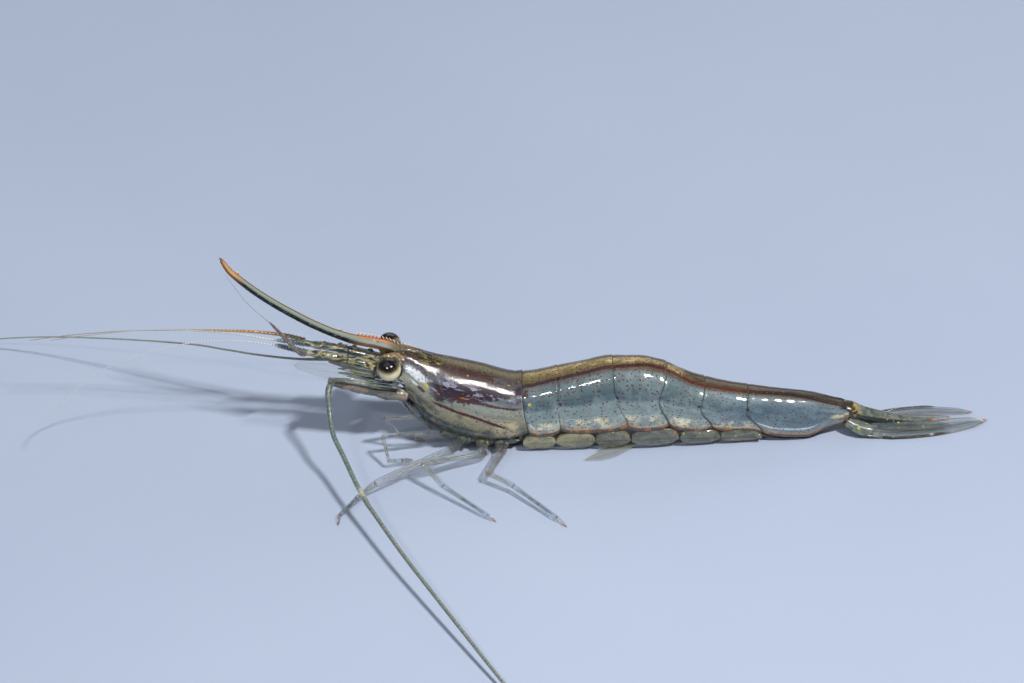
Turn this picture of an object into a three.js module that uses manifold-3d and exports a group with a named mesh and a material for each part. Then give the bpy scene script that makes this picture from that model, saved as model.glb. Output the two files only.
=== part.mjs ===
// A long-nosed freshwater shrimp at life size, lying on its belly with its front raised on its legs.
// Millimetres, +Z up. The head points to -X and the tail to +X; the left side of the body faces -Y.
// The origin is on the floor, where the flat underside of the chest rests. The animal is still: it
// has no joints. Places below are measured along the body from the middle of its second somite.
import * as THREE from 'three';
import { mergeVertices } from 'three/addons/utils/BufferGeometryUtils.js';
import Module from 'manifold-3d';

// ---- Driving dimensions -------------------------------------------------------------------

const GAP = 0.08;              // thin cut between neighbouring pieces
const CARAPACE_FRONT = -10.95; // where the rostrum leaves the carapace
const CARAPACE_REAR = -3.9;    // hind edge of the carapace
const NOSE_TIP = -20.95;       // tip of the long upturned rostrum
const TAIL_JOINT = 15.0;       // sixth somite to telson
const TAIL_SWING = 0.0029;     // the tail drifts to the right with the square of its distance
const EYE_RADIUS = 0.7;
const EYE = { x: -11.5, y: 1.27, z: 5.9 };
const FEELER = 0.25;           // half-thickness of the feelers
const FLOOR_FLAT = 0.21;       // height of a feeler's middle line where it lies on the floor
const CHEST_REST = -4.5;       // where the flat underside of the chest meets the floor

// Segments round the body: the shell, then the hollowed underside between the side plates.
const SHELL_SEGMENTS = 22;
const UNDER_SEGMENTS = 6;
const WIDEST = 0.62;           // share of the half shell between the ridge and the widest line
const WIDEST_HEIGHT = 0.45;    // height of the widest line between lower edge and ridge
const TUCK = 0.1;              // how far the lower edge turns in under the body

const wasm = await Module();
wasm.setup();

// ---- Small helpers ------------------------------------------------------------------------

// Smooth curve through a few [place, value] pairs that never swings past them.
function smooth(pairs) {
  const slope = pairs.map((pair, i) => {
    if (i === 0 || i === pairs.length - 1) return 0;
    const before = (pair[1] - pairs[i - 1][1]) / (pair[0] - pairs[i - 1][0]);
    const after = (pairs[i + 1][1] - pair[1]) / (pairs[i + 1][0] - pair[0]);
    return before * after <= 0 ? 0 : 2 * before * after / (before + after);
  });
  return (place) => {
    let i = 0;
    while (i < pairs.length - 2 && place > pairs[i + 1][0]) i++;
    const span = pairs[i + 1][0] - pairs[i][0];
    const t = THREE.MathUtils.clamp((place - pairs[i][0]) / span, 0, 1);
    const rise = t * t * (3 - 2 * t);
    const swing = (t - 2 * t * t + t * t * t) * slope[i] + (t * t * t - t * t) * slope[i + 1];
    return THREE.MathUtils.lerp(pairs[i][1], pairs[i + 1][1], rise) + span * swing;
  };
}

const swing = (x) => TAIL_SWING * Math.max(0, x) ** 2;

// A closed cylinder bent into shape: place(along, segment, middle) gives each vertex its position.
function shaped(segments, steps, place) {
  const geometry = new THREE.CylinderGeometry(1, 1, 1, segments, steps);
  const position = geometry.attributes.position;
  for (let i = 0; i < position.count; i++) {
    const along = position.getY(i) + 0.5;
    const middle = Math.hypot(position.getX(i), position.getZ(i)) < 0.5;
    const turn = Math.atan2(position.getX(i), position.getZ(i)) / (2 * Math.PI);
    const segment = (Math.round(turn * segments) + segments) % segments;
    const point = place(along, segment, middle);
    position.setXYZ(i, point.x, point.y, Math.max(0, point.z));
  }
  return closed(geometry);
}

// Keeps only the positions, merges shared corners and turns the faces outwards.
function closed(geometry) {
  geometry.deleteAttribute('normal');
  geometry.deleteAttribute('uv');
  const merged = mergeVertices(geometry, 1e-5);
  const p = merged.attributes.position;
  const index = merged.index.array;
  const corner = [0, 1, 2].map(() => new THREE.Vector3());
  const kept = [];
  let volume = 0;
  for (let i = 0; i < index.length; i += 3) {
    const face = [index[i], index[i + 1], index[i + 2]];
    if (face[0] === face[1] || face[1] === face[2] || face[2] === face[0]) continue;
    face.forEach((vertex, k) => corner[k].fromBufferAttribute(p, vertex));
    volume += corner[0].dot(corner[1].clone().cross(corner[2]));
    kept.push(face);
  }
  merged.setIndex(kept.flatMap((face) => (volume < 0 ? [face[0], face[2], face[1]] : face)));
  return merged;
}

function toSolid(geometry) {
  const vertProperties = new Float32Array(geometry.attributes.position.array);
  const triVerts = new Uint32Array(geometry.index.array);
  return new wasm.Manifold(new wasm.Mesh({ numProp: 3, vertProperties, triVerts }));
}

function toGeometry(solid) {
  const mesh = solid.getMesh();
  const geometry = new THREE.BufferGeometry();
  geometry.setAttribute('position', new THREE.BufferAttribute(mesh.vertProperties, 3));
  geometry.setIndex(new THREE.BufferAttribute(mesh.triVerts, 1));
  return geometry;
}

function cutAway(geometry, cutter) {
  return toGeometry(toSolid(geometry).subtract(toSolid(cutter)));
}

// A line of [x, y, z, size] places with each corner rounded off.
function rounded(places, reach = 0.32) {
  const points = places.map((place) => new THREE.Vector4(...place));
  const line = [points[0]];
  for (let i = 1; i < points.length - 1; i++) {
    const start = points[i].clone().lerp(points[i - 1], reach);
    const end = points[i].clone().lerp(points[i + 1], reach);
    const middle = start.clone().lerp(end, 0.5).lerp(points[i], 0.5);
    line.push(start, middle, end);
  }
  line.push(points[points.length - 1]);
  return line;
}

// A line of [x, y, z, size] places drawn as one long even curve.
function flowing(places, steps) {
  const curve = new THREE.CatmullRomCurve3(places.map((place) => new THREE.Vector3(...place)));
  const size = smooth(places.map((place, i) => [i / (places.length - 1), place[3]]));
  return Array.from({ length: steps + 1 }, (_, i) => {
    const point = curve.getPoint(i / steps);
    return new THREE.Vector4(point.x, point.y, point.z, size(i / steps));
  });
}

// Sweeps a round section along a line; a thickness (half of it, along the line) makes a blade.
function swept(line, { thickness = null, segments = 8 } = {}) {
  const at = line.map((place) => new THREE.Vector3(place.x, place.y, place.z));
  const tangents = at.map((_, i) => {
    const ahead = at[Math.min(i + 1, at.length - 1)];
    return ahead.clone().sub(at[Math.max(i - 1, 0)]).normalize();
  });
  const side = new THREE.Vector3(0, 0, 1).cross(tangents[0]).normalize();
  const sides = tangents.map((tangent, i) => {
    if (i > 0) {
      const turn = new THREE.Quaternion().setFromUnitVectors(tangents[i - 1], tangent);
      side.applyQuaternion(turn);
    }
    return side.clone();
  });
  return shaped(segments, line.length - 1, (along, segment, middle) => {
    const i = Math.round(along * (line.length - 1));
    const point = at[i].clone();
    if (middle) return point;
    const angle = (segment / segments) * 2 * Math.PI;
    const lift = tangents[i].clone().cross(sides[i]);
    const tall = thickness === null ? line[i].w : Math.min(thickness(along), line[i].w * 1.2);
    point.addScaledVector(sides[i], Math.cos(angle) * line[i].w);
    return point.addScaledVector(lift, Math.sin(angle) * tall);
  });
}

// The same places on the other side of the body.
const mirrored = (places) => places.map(([x, y, z, size]) => [x, -y, z, size]);

// ---- Materials ----------------------------------------------------------------------------

const finish = (color, roughness) => ({ color, roughness, metalness: 0 });
const SHELL = finish(0x73858c, 0.25);
const HEAD_SHELL = finish(0x6e6a58, 0.25);
const NOSE = finish(0x7c6a48, 0.3);
const EYE_BALL = finish(0x2a1c12, 0.08);
const STALK = finish(0x9a8f74, 0.35);
const FEELER_SHELL = finish(0x6f7a70, 0.3);
const LEG_SHELL = finish(0x8a949c, 0.25);
const SOFT_LIMB = finish(0xa79f7c, 0.35);
const TAIL_FIN = finish(0x5d6a64, 0.25);

const shrimp = new THREE.Group();

function add(name, geometry, look) {
  const mesh = new THREE.Mesh(geometry, new THREE.MeshStandardMaterial(look));
  mesh.name = name;
  shrimp.add(mesh);
  return mesh;
}

// ---- Body outline -------------------------------------------------------------------------

const ridge = smooth([[-11, 6.55], [-8.65, 5.8], [-6.35, 5.15], [-4, 4.48], [-2.3, 4.78],
  [-0.6, 5.18], [1.1, 5.56], [2.7, 5.55], [4.1, 5.2], [5.2, 4.6], [6.6, 3.98], [9, 3.36],
  [12.5, 2.7], [15, 1.95]]);
const halfWidth = smooth([[-11, 1.15], [-8.65, 1.6], [-6.35, 1.8], [-4, 1.75], [2.8, 1.7],
  [5.2, 1.52], [9, 1.2], [12.5, 1.05], [15, 0.78]]);
const lowerEdge = smooth([[-10.6, 3.6], [-9.5, 2.5], [-8.2, 1.85], [-7, 1.45], [-5.2, 1.15],
  [-3.7, 1.22], [1.5, 1.5], [4.2, 1.5], [6.6, 1.2], [9, 1.05], [10.7, 0.5], [12.5, 0.32],
  [13.8, 0.83], [15, 1]]);

// The corners of each side plate rise, and the belly is hollowed between the plates.
const cornerRise = smooth([[-8, 0.05], [-3, 0.3], [6, 0.3], [9.5, 0.08]]);
const hollow = smooth([[-11, 0.4], [4, 0.4], [9.5, 0.15], [15, 0.1]]);

// Place on the closed section at x: rise is 0 at the lower edge and 1 on the ridge.
function bodySection(segment, middle) {
  if (middle) return { across: 0, rise: 0.5, under: 0 };
  if (segment > SHELL_SEGMENTS) {
    const t = (segment - SHELL_SEGMENTS) / UNDER_SEGMENTS;
    return { across: (1 - TUCK) * (1 - 2 * t), rise: 0, under: 1 };
  }
  const s = 2 * segment / SHELL_SEGMENTS - 1;
  const half = Math.abs(s);
  if (half < WIDEST) {
    const angle = (half / WIDEST) * Math.PI / 2;
    const rise = WIDEST_HEIGHT + (1 - WIDEST_HEIGHT) * Math.cos(angle);
    return { across: Math.sign(s) * Math.sin(angle), rise, under: 0 };
  }
  const t = (half - WIDEST) / (1 - WIDEST);
  return { across: Math.sign(s) * (1 - TUCK * t * t), rise: WIDEST_HEIGHT * (1 - t), under: 0 };
}

// A ring of body shell between two edges, each a curve of place along the body against rise.
function bodyRing(front, rear, steps) {
  return shaped(SHELL_SEGMENTS + UNDER_SEGMENTS, steps, (along, segment, middle) => {
    const { across, rise, under } = bodySection(segment, middle);
    const x = THREE.MathUtils.lerp(front(rise) + GAP / 2, rear(rise) - GAP / 2, along);
    const edge = lowerEdge(x) + cornerRise(x) * (2 * along - 1) ** 4;
    const z = edge + rise * (ridge(x) - edge) + under * hollow(x);
    return new THREE.Vector3(x, swing(x) + across * halfWidth(x), z);
  });
}

// Edges between the rings, from the lower edge (0) to the ridge (1).
const EDGES = [
  smooth([[0, -3.6], [0.5, -3.8], [1, CARAPACE_REAR]]),
  smooth([[0, -1.4], [0.5, -1.85], [1, -1.9]]),
  smooth([[0, 2.1], [0.5, 1.5], [1, 1.3]]),
  smooth([[0, 4.5], [0.5, 3.95], [1, 4.4]]),
  smooth([[0, 7], [0.5, 6.35], [1, 6.6]]),
  smooth([[0, 9.9], [0.5, 9], [1, 9.1]]),
  smooth([[0, TAIL_JOINT - 0.1], [0.5, TAIL_JOINT], [1, TAIL_JOINT]]),
];

// ---- Carapace, trunk and abdomen ----------------------------------------------------------

function addCarapace() {
  const front = smooth([[0, -10.2], [0.12, -10.45], [0.3, -10.6], [0.5, -10.72], [0.75, -10.6],
    [1, CARAPACE_FRONT]]);
  add('carapace', bodyRing(front, EDGES[0], 12), HEAD_SHELL);
}

function addAbdomen() {
  for (let somite = 1; somite <= 6; somite++) {
    add(`abdomen_${somite}`, bodyRing(EDGES[somite - 1], EDGES[somite], 5), SHELL);
  }
}

// The underside of the chest, between the legs.
const CHEST = { front: -9.5, rear: -3.75 };
const chestWidth = smooth([[CHEST.front, 0.25], [-8, 0.55], [-6, 0.72], [CHEST.rear, 0.75]]);
const chestBottom = smooth([[CHEST.front, 1.9], [-8, 0.85], [-6.5, 0.3], [-5.3, -0.15],
  [CHEST.rear, -0.15]]);

function addChest() {
  const segments = 12;
  const geometry = shaped(segments, 7, (along, segment, middle) => {
    const x = THREE.MathUtils.lerp(CHEST.front, CHEST.rear, along);
    const top = lowerEdge(x) + 0.28;
    const low = chestBottom(x);
    const angle = (segment / segments) * 2 * Math.PI;
    const reach = middle ? 0 : 1;
    const y = reach * Math.sin(angle) * chestWidth(x);
    return new THREE.Vector3(x, y, (top + low) / 2 + reach * Math.cos(angle) * (top - low) / 2);
  });
  add('chest', geometry, SOFT_LIMB);
}

// ---- Rostrum ------------------------------------------------------------------------------

const noseTop = smooth([[NOSE_TIP, 12.8], [-20.2, 11.95], [-19, 10.8], [-17.8, 9.85],
  [-16.5, 8.97], [-15.4, 8.3], [-14.3, 7.76], [-13.4, 7.46], [-12.3, 7.25], [-11, 6.85]]);
const noseDepth = smooth([[NOSE_TIP, 0.1], [-20.2, 0.36], [-19, 0.44], [-16.5, 0.44],
  [-14.5, 0.5], [-13.2, 0.72], [-12, 0.82], [-11, 0.8]]);
const noseWidth = smooth([[NOSE_TIP, 0.07], [-20, 0.25], [-15, 0.27], [-12.5, 0.3], [-11, 0.34]]);

function addRostrum() {
  const segments = 10;
  const geometry = shaped(segments, 24, (along, segment, middle) => {
    const x = THREE.MathUtils.lerp(NOSE_TIP, CARAPACE_FRONT - GAP, along);
    const angle = (segment / segments) * 2 * Math.PI;
    const reach = middle ? 0 : 1;
    const z = noseTop(x) - noseDepth(x) / 2 * (1 - reach * Math.cos(angle));
    return new THREE.Vector3(x, reach * Math.sin(angle) * noseWidth(x), z);
  });
  add('rostrum', geometry, NOSE);
}

// ---- Eyes ---------------------------------------------------------------------------------

function addEye(name, sideSign) {
  const ball = (radius) => {
    const sphere = new THREE.SphereGeometry(radius, 18, 12);
    return closed(sphere.translate(EYE.x, sideSign * EYE.y, EYE.z));
  };
  add(`eye_${name}`, ball(EYE_RADIUS), EYE_BALL);
  const stalk = swept(rounded([
    [CARAPACE_FRONT - 0.14, sideSign * 0.36, 5.82, 0.3],
    [EYE.x, sideSign * EYE.y, EYE.z, 0.48],
  ]), { segments: 10 });
  add(`eyestalk_${name}`, cutAway(stalk, ball(EYE_RADIUS + GAP)), STALK);
}

// ---- Antennules: the inner pair of feelers --------------------------------------------------

function addAntennule(name, sideSign) {
  const stem = [[-11.08, -0.45, 4.95, 0.3], [-12.2, -0.45, 5.5, 0.32], [-13.9, -0.45, 6.12, 0.31],
    [-14.05, -0.45, 6.16, 0.28], [-15.4, -0.46, 6.42, 0.29], [-15.55, -0.46, 6.45, 0.26],
    [-16.4, -0.47, 6.62, 0.27]];
  const places = sideSign < 0 ? stem : mirrored(stem);
  add(`antennule_${name}`, swept(rounded(places), { segments: 8 }), FEELER_SHELL);
}

const ANTENNULE_FEELERS = {
  inner_left: [[-16.5, -0.42, 6.66, FEELER], [-17.94, -0.7, 7.28, FEELER],
    [-20.73, -0.9, 7.77, FEELER], [-23.72, -1.1, 7.57, FEELER], [-26.97, -1.4, 6.61, FEELER],
    [-29.25, -1.7, 5.2, FEELER], [-30.5, -2, 3.93, FEELER], [-30.87, -2.2, 3.24, 0.2]],
  outer_left: [[-16.42, -1.02, 6.8, FEELER], [-17.4, -1.1, 8.05, FEELER],
    [-18.17, -1.2, 9.13, FEELER], [-19.44, -1.8, 10.97, FEELER], [-20.5, -2.5, 13.3, 0.2]],
  inner_right: [[-16.5, 0.42, 6.66, FEELER], [-18.75, 0.3, 7.05, FEELER],
    [-20.85, 0.42, 7.41, FEELER], [-25.08, 1.2, 7.15, FEELER], [-29.17, 1.8, 6.38, FEELER],
    [-31, 2.1, 5.9, 0.2]],
  outer_right: [[-16.45, 0.97, 6.7, FEELER], [-17.62, 0.98, 6.85, FEELER],
    [-20.1, 1.2, 7, FEELER], [-25.14, 2, 6.6, FEELER], [-29.24, 2.6, 5.98, FEELER],
    [-32.39, 3.2, 5.18, 0.2]],
};

function addAntennuleFeelers() {
  for (const [name, places] of Object.entries(ANTENNULE_FEELERS)) {
    add(`feeler_${name}`, swept(flowing(places, 18), { segments: 6 }), FEELER_SHELL);
  }
}

// ---- Antennae: base, scale and the long outer feelers ----------------------------------------

const ANTENNA_BASE = [[-10.7, -0.98, 3.9, 0.36], [-11.6, -1.02, 4.12, 0.4],
  [-13.2, -1.06, 4.55, 0.34], [-14.75, -1.12, 4.98, 0.26]];
const ANTENNA_SCALE = [[-10.85, -1.3, 4.72, 0.2], [-12, -1.32, 4.98, 0.42],
  [-13.6, -1.36, 5.48, 0.52], [-15.4, -1.32, 5.9, 0.46], [-16.9, -1.2, 6.2, 0.16]];
const ANTENNAE = {
  left: [[-14.95, -1.46, 4.98, FEELER], [-14.9, -2.6, 3.74, FEELER], [-14.7, -3.67, 3.05, FEELER],
    [-14.15, -4.9, 2.5, FEELER], [-13.4, -6.95, 2.05, FEELER], [-12.6, -8.8, 1.75, FEELER],
    [-10.44, -13.51, 1.4, FEELER], [-7.22, -19.71, 0.9, FEELER], [-5.06, -23.74, 0.55, FEELER],
    [-2.6, -28.2, FLOOR_FLAT, FEELER], [-0.4, -32, FLOOR_FLAT, 0.2]],
  right: [[-14.95, 1.12, 5.02, FEELER], [-16.73, 1.65, 4.7, FEELER], [-19.04, 2.7, 4.3, FEELER],
    [-20.93, 3.41, 4.2, FEELER], [-23.24, 4.38, 4, FEELER], [-27.59, 6.48, 3, FEELER],
    [-32.14, 8.57, 1.8, FEELER], [-36.5, 9.9, 0.75, FEELER], [-40.5, 10.6, FLOOR_FLAT, FEELER],
    [-46, 10.4, FLOOR_FLAT, 0.2]],
};

function addAntenna(name, sideSign) {
  const placed = (places) => (sideSign < 0 ? places : mirrored(places));
  add(`antenna_base_${name}`, swept(rounded(placed(ANTENNA_BASE)), { segments: 10 }), FEELER_SHELL);
  const scale = swept(flowing(placed(ANTENNA_SCALE), 10), { thickness: () => FEELER, segments: 8 });
  add(`antenna_scale_${name}`, scale, FEELER_SHELL);
  const feeler = swept(flowing(ANTENNAE[name], 30), { segments: 6 });
  add(`antenna_feeler_${name}`, feeler, FEELER_SHELL);
}

// ---- Mouth parts ---------------------------------------------------------------------------

function addMouthPart(name, sideSign) {
  const places = [[-10.6, -0.33, 3.3, 0.2], [-10.3, -0.32, 2.85, 0.29], [-9.75, -0.3, 2.25, 0.24]];
  const line = rounded(sideSign < 0 ? places : mirrored(places));
  add(`mouth_part_${name}`, swept(line, { segments: 8 }), SOFT_LIMB);
}

// ---- Legs ----------------------------------------------------------------------------------

// Joint places [x, y, z, half-thickness] from the body outwards: two pairs of small pincered
// legs, then three pairs of walking legs whose toes stand on the floor.
const LEGS = {
  leg_1_left: [[-9.05, -0.72, 1.5, 0.26], [-10.05, -0.84, 2.3, 0.24], [-11.8, -1.45, 2.6, 0.25],
    [-11.03, -1.1, 1.2, 0.24], [-9.52, -0.72, 0.5, 0.2]],
  leg_2_left: [[-8.35, -0.86, 1.12, 0.28], [-9.35, -1.42, 1.5, 0.25], [-11.92, -2.15, 1.86, 0.26],
    [-11.6, -2.9, 0.64, 0.25], [-10.23, -2.4, 0.34, 0.2]],
  leg_3_left: [[-7.35, -0.98, 0.85, 0.3], [-7.92, -2.4, 1.08, 0.29], [-12.35, -5.51, 0.9, 0.29],
    [-13.37, -6.53, 0.6, 0.27], [-14.3, -7.65, 0.32, 0.26], [-14.43, -8.26, 0.15, 0.22]],
  leg_4_left: [[-6.3, -1.05, 0.62, 0.3], [-6.1, -2.3, 0.72, 0.29], [-9.63, -4.67, 1.7, 0.29],
    [-8.49, -5.64, 0.8, 0.27], [-6, -7.82, 0.34, 0.25], [-5.5, -8.1, 0.15, 0.22]],
  leg_5_left: [[-5.2, -1.08, 0.58, 0.3], [-5.1, -2.2, 0.7, 0.29], [-5.89, -4.57, 0.9, 0.28],
    [-4.5, -5.45, 0.6, 0.26], [-2.09, -8.1, 0.32, 0.25], [-1.5, -8.7, 0.15, 0.22]],
  leg_1_right: [[-9.05, 0.72, 1.5, 0.26], [-9.9, 0.86, 2.2, 0.24], [-11, 1.35, 2.1, 0.25],
    [-10.3, 1.05, 1.2, 0.24], [-9.3, 0.75, 0.55, 0.2]],
  leg_2_right: [[-8.35, 0.86, 1.12, 0.28], [-9.2, 1.42, 1.5, 0.25], [-10.4, 2.2, 1.7, 0.26],
    [-9.9, 2.35, 0.7, 0.25], [-8.9, 2.1, 0.34, 0.2]],
  leg_3_right: [[-7.35, 0.98, 0.85, 0.3], [-7.7, 2.3, 1.05, 0.29], [-9.6, 4.6, 1.5, 0.29],
    [-9.9, 5.6, 0.95, 0.27], [-9.5, 6.9, 0.34, 0.26], [-9.2, 7.4, 0.15, 0.22]],
  leg_4_right: [[-6.3, 1.05, 0.62, 0.3], [-6.2, 2.2, 0.72, 0.29], [-7.5, 4.3, 1.6, 0.29],
    [-7.2, 5.1, 1, 0.27], [-6, 6.15, 0.34, 0.25], [-5.6, 6.45, 0.15, 0.22]],
  leg_5_right: [[-5.2, 1.08, 0.58, 0.3], [-4.95, 2.1, 0.68, 0.29], [-4.9, 3.9, 1.1, 0.28],
    [-4.2, 4.6, 0.8, 0.26], [-3.1, 5.75, 0.32, 0.25], [-2.7, 6.05, 0.15, 0.22]],
};

function addLegs() {
  for (const [name, places] of Object.entries(LEGS)) {
    add(name, swept(rounded(places, 0.2), { segments: 8 }), LEG_SHELL);
  }
}

// ---- Swimming legs folded under the abdomen --------------------------------------------------

// Places of a folded swimming leg from its root, backwards along the floor.
const FOLDED = [[0, -0.53, 1.5, 0.3], [0.2, -0.62, 0.9, 0.38], [0.75, -0.76, 0.42, 0.42],
  [1.5, -0.8, 0.22, 0.4], [2.2, -0.8, 0.2, 0.2]];
const SPREAD_BLADE = [[2.9, -0.53, 1.7, 0.3], [2.9, -0.75, 0.8, 0.4], [2.3, -1.1, 0.3, 0.42],
  [1, -1.55, 0.22, 0.4], [-0.2, -1.98, 0.2, 0.2]];
const SWIMMING_BLADE = 0.32;   // half-thickness
const ROOTS = [-3.05, -0.55, 2.6, 5.15, 7.7];

function foldedLeg(root, sideSign) {
  const slim = halfWidth(root) / halfWidth(0);
  return FOLDED.map(([x, y, z, size], i) => {
    const along = root + x;
    const height = i === 0 ? lowerEdge(along) + hollow(along) - 0.18 : z;
    return [along, swing(along) - sideSign * y * slim, height, size * slim];
  });
}

function addSwimmingLegs() {
  for (const sideSign of [-1, 1]) {
    const name = sideSign < 0 ? 'left' : 'right';
    ROOTS.forEach((root, index) => {
      const spread = index === 2 && sideSign < 0;
      const places = spread ? SPREAD_BLADE : foldedLeg(root, sideSign);
      const geometry = swept(flowing(places, 6), { thickness: () => SWIMMING_BLADE, segments: 8 });
      add(`swimming_leg_${index + 1}_${name}`, geometry, SOFT_LIMB);
    });
  }
}

// ---- Tail fan --------------------------------------------------------------------------------

// Offsets from the tail's middle line; the left outer fin is closed, the right one a little open.
const OUTER_FIN = {
  left: [[16.35, -0.98, 0.28, 0.26], [17.6, -1.06, 0.19, 0.38], [19.4, -1.07, 0.19, 0.4],
    [21.4, -0.85, 0.19, 0.38], [22.98, -0.52, 0.19, 0.14]],
  right: [[16.35, 0.98, 0.28, 0.26], [17.6, 1.15, 0.19, 0.38], [19.2, 1.35, 0.19, 0.4],
    [20.8, 1.5, 0.19, 0.38], [22.1, 1.55, 0.19, 0.14]],
};
const OUTER_THICKNESS = 0.28;
const INNER_THICKNESS = 0.22;
const INNER_FIN = [[16.4, -0.42, 0.46, 0.2], [17.6, -0.41, 0.38, 0.23], [19.2, -0.4, 0.3, 0.23],
  [20.75, -0.36, 0.25, 0.12]];
const FIN_BASE = [[15.08, -0.44, 0.92, 0.2], [15.6, -0.62, 0.6, 0.34], [16.24, -0.74, 0.4, 0.28]];
const TELSON = [[TAIL_JOINT + 0.06, 0, 1.44, 0.4], [16.4, 0, 1.08, 0.48], [17.7, 0, 0.8, 0.36],
  [18.8, 0, 0.6, 0.24], [19.8, 0, 0.5, 0.1]];
const telsonThickness = smooth([[0, 0.38], [0.3, 0.34], [0.6, 0.24], [1, 0.18]]);

const alongTail = (places) => places.map(([x, y, z, size]) => [x, swing(x) + y, z, size]);

function addTail() {
  add('telson', swept(flowing(alongTail(TELSON), 8), { thickness: telsonThickness, segments: 10 }), TAIL_FIN);
  for (const name of ['left', 'right']) {
    const placed = (places) => alongTail(name === 'left' ? places : mirrored(places));
    const fin = (places, half) => swept(flowing(places, 9), { thickness: () => half, segments: 8 });
    const base = swept(flowing(placed(FIN_BASE), 4), { thickness: () => 0.28, segments: 10 });
    add(`tail_fin_base_${name}`, base, TAIL_FIN);
    add(`tail_fin_inner_${name}`, fin(placed(INNER_FIN), INNER_THICKNESS), TAIL_FIN);
    add(`tail_fin_outer_${name}`, fin(alongTail(OUTER_FIN[name]), OUTER_THICKNESS), TAIL_FIN);
  }
}

// ---- The whole animal ------------------------------------------------------------------------

addCarapace();
addAbdomen();
addChest();
addRostrum();
for (const [name, sideSign] of [['left', -1], ['right', 1]]) {
  addEye(name, sideSign);
  addAntennule(name, sideSign);
  addAntenna(name, sideSign);
  addMouthPart(name, sideSign);
}
addAntennuleFeelers();
addLegs();
addSwimmingLegs();
addTail();
shrimp.position.x = -CHEST_REST;

export default shrimp;
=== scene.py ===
"""A long-nosed freshwater shrimp at life size, lying on its belly with its front raised a little.

The head points to -X, the tail to +X and the left side of the body to -Y; the floor is z = 0.
Places are in millimetres from the middle of the second somite, and `metres` puts them in the frame.
"""

import math

import bpy
import bmesh
import numpy as np
from mathutils import Matrix, Vector


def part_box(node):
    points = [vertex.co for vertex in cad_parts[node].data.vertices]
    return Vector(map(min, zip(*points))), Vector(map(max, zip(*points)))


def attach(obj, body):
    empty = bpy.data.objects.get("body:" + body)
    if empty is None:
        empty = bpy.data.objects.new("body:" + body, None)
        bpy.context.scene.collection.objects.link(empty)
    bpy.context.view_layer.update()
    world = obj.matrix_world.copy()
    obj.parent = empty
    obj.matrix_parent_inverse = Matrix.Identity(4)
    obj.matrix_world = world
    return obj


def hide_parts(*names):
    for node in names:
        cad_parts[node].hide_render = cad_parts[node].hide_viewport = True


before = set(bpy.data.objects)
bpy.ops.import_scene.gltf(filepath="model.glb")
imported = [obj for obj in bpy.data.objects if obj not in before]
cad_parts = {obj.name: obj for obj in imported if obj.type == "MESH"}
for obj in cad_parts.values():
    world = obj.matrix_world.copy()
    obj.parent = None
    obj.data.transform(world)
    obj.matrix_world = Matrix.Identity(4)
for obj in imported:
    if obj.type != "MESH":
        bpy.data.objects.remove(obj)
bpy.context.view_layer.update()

# ---- Driving sizes ----

MM = 0.001
EYE_RADIUS = 0.7
EYE_X = -11.5
EYE_LOW, EYE_HIGH = (Vector(corner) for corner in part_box("eye_left"))
EYE_CENTRE = (EYE_LOW + EYE_HIGH) / 2
SHIFT = EYE_CENTRE.x / MM - EYE_X
EYE_Y = abs(EYE_CENTRE.y) / MM
EYE_Z = EYE_CENTRE.z / MM
TAIL_JOINT = 15.0
TAIL_SWING = 0.0029     # how fast the body bends away to the right behind the second somite
NOSE_TIP, NOSE_ROOT = -20.95, -10.2
OVERLAP = 0.24          # how far a plate's hind edge covers the next plate
FLOOR_SKIN = 0.004      # from the floor to what lies on it
FLOOR_GAP = 0.012       # from the floor to the lowest places of tubes and blades
SEED = 7

SIDES = (("left", -1), ("right", 1))
UP = Vector((0, 0, 1))


def metres(places):
    """Places in millimetres, from the middle of the second somite, as metres in the frame."""
    places = np.asarray(places, dtype=float)
    return (places + np.array([SHIFT, 0.0, 0.0])) * MM


def smooth(pairs):
    """A smooth curve through a few (place, value) pairs that never swings past them."""
    slopes = [0.0] * len(pairs)
    for i in range(1, len(pairs) - 1):
        before = (pairs[i][1] - pairs[i - 1][1]) / (pairs[i][0] - pairs[i - 1][0])
        after = (pairs[i + 1][1] - pairs[i][1]) / (pairs[i + 1][0] - pairs[i][0])
        slopes[i] = 2 * before * after / (before + after) if before * after > 0 else 0.0

    def curve(place):
        i = 0
        while i < len(pairs) - 2 and place > pairs[i + 1][0]:
            i += 1
        span = pairs[i + 1][0] - pairs[i][0]
        t = min(max((place - pairs[i][0]) / span, 0.0), 1.0)
        rise = t * t * (3 - 2 * t)
        swing = (t - 2 * t * t + t ** 3) * slopes[i] + (t ** 3 - t * t) * slopes[i + 1]
        return pairs[i][1] + (pairs[i + 1][1] - pairs[i][1]) * rise + span * swing

    return curve


def ease(value, start, end):
    """0 before start, 1 after end, smooth between."""
    t = min(max((value - start) / (end - start), 0.0), 1.0)
    return t * t * (3 - 2 * t)


def bump(value, centre, width):
    """A soft hump of height 1."""
    return math.exp(-((value - centre) / width) ** 2)


def tail_swing(x):
    """How far the body's middle line lies to the right."""
    return TAIL_SWING * max(0.0, x) ** 2


# ---- The body's outline, as in the solids ----

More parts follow.
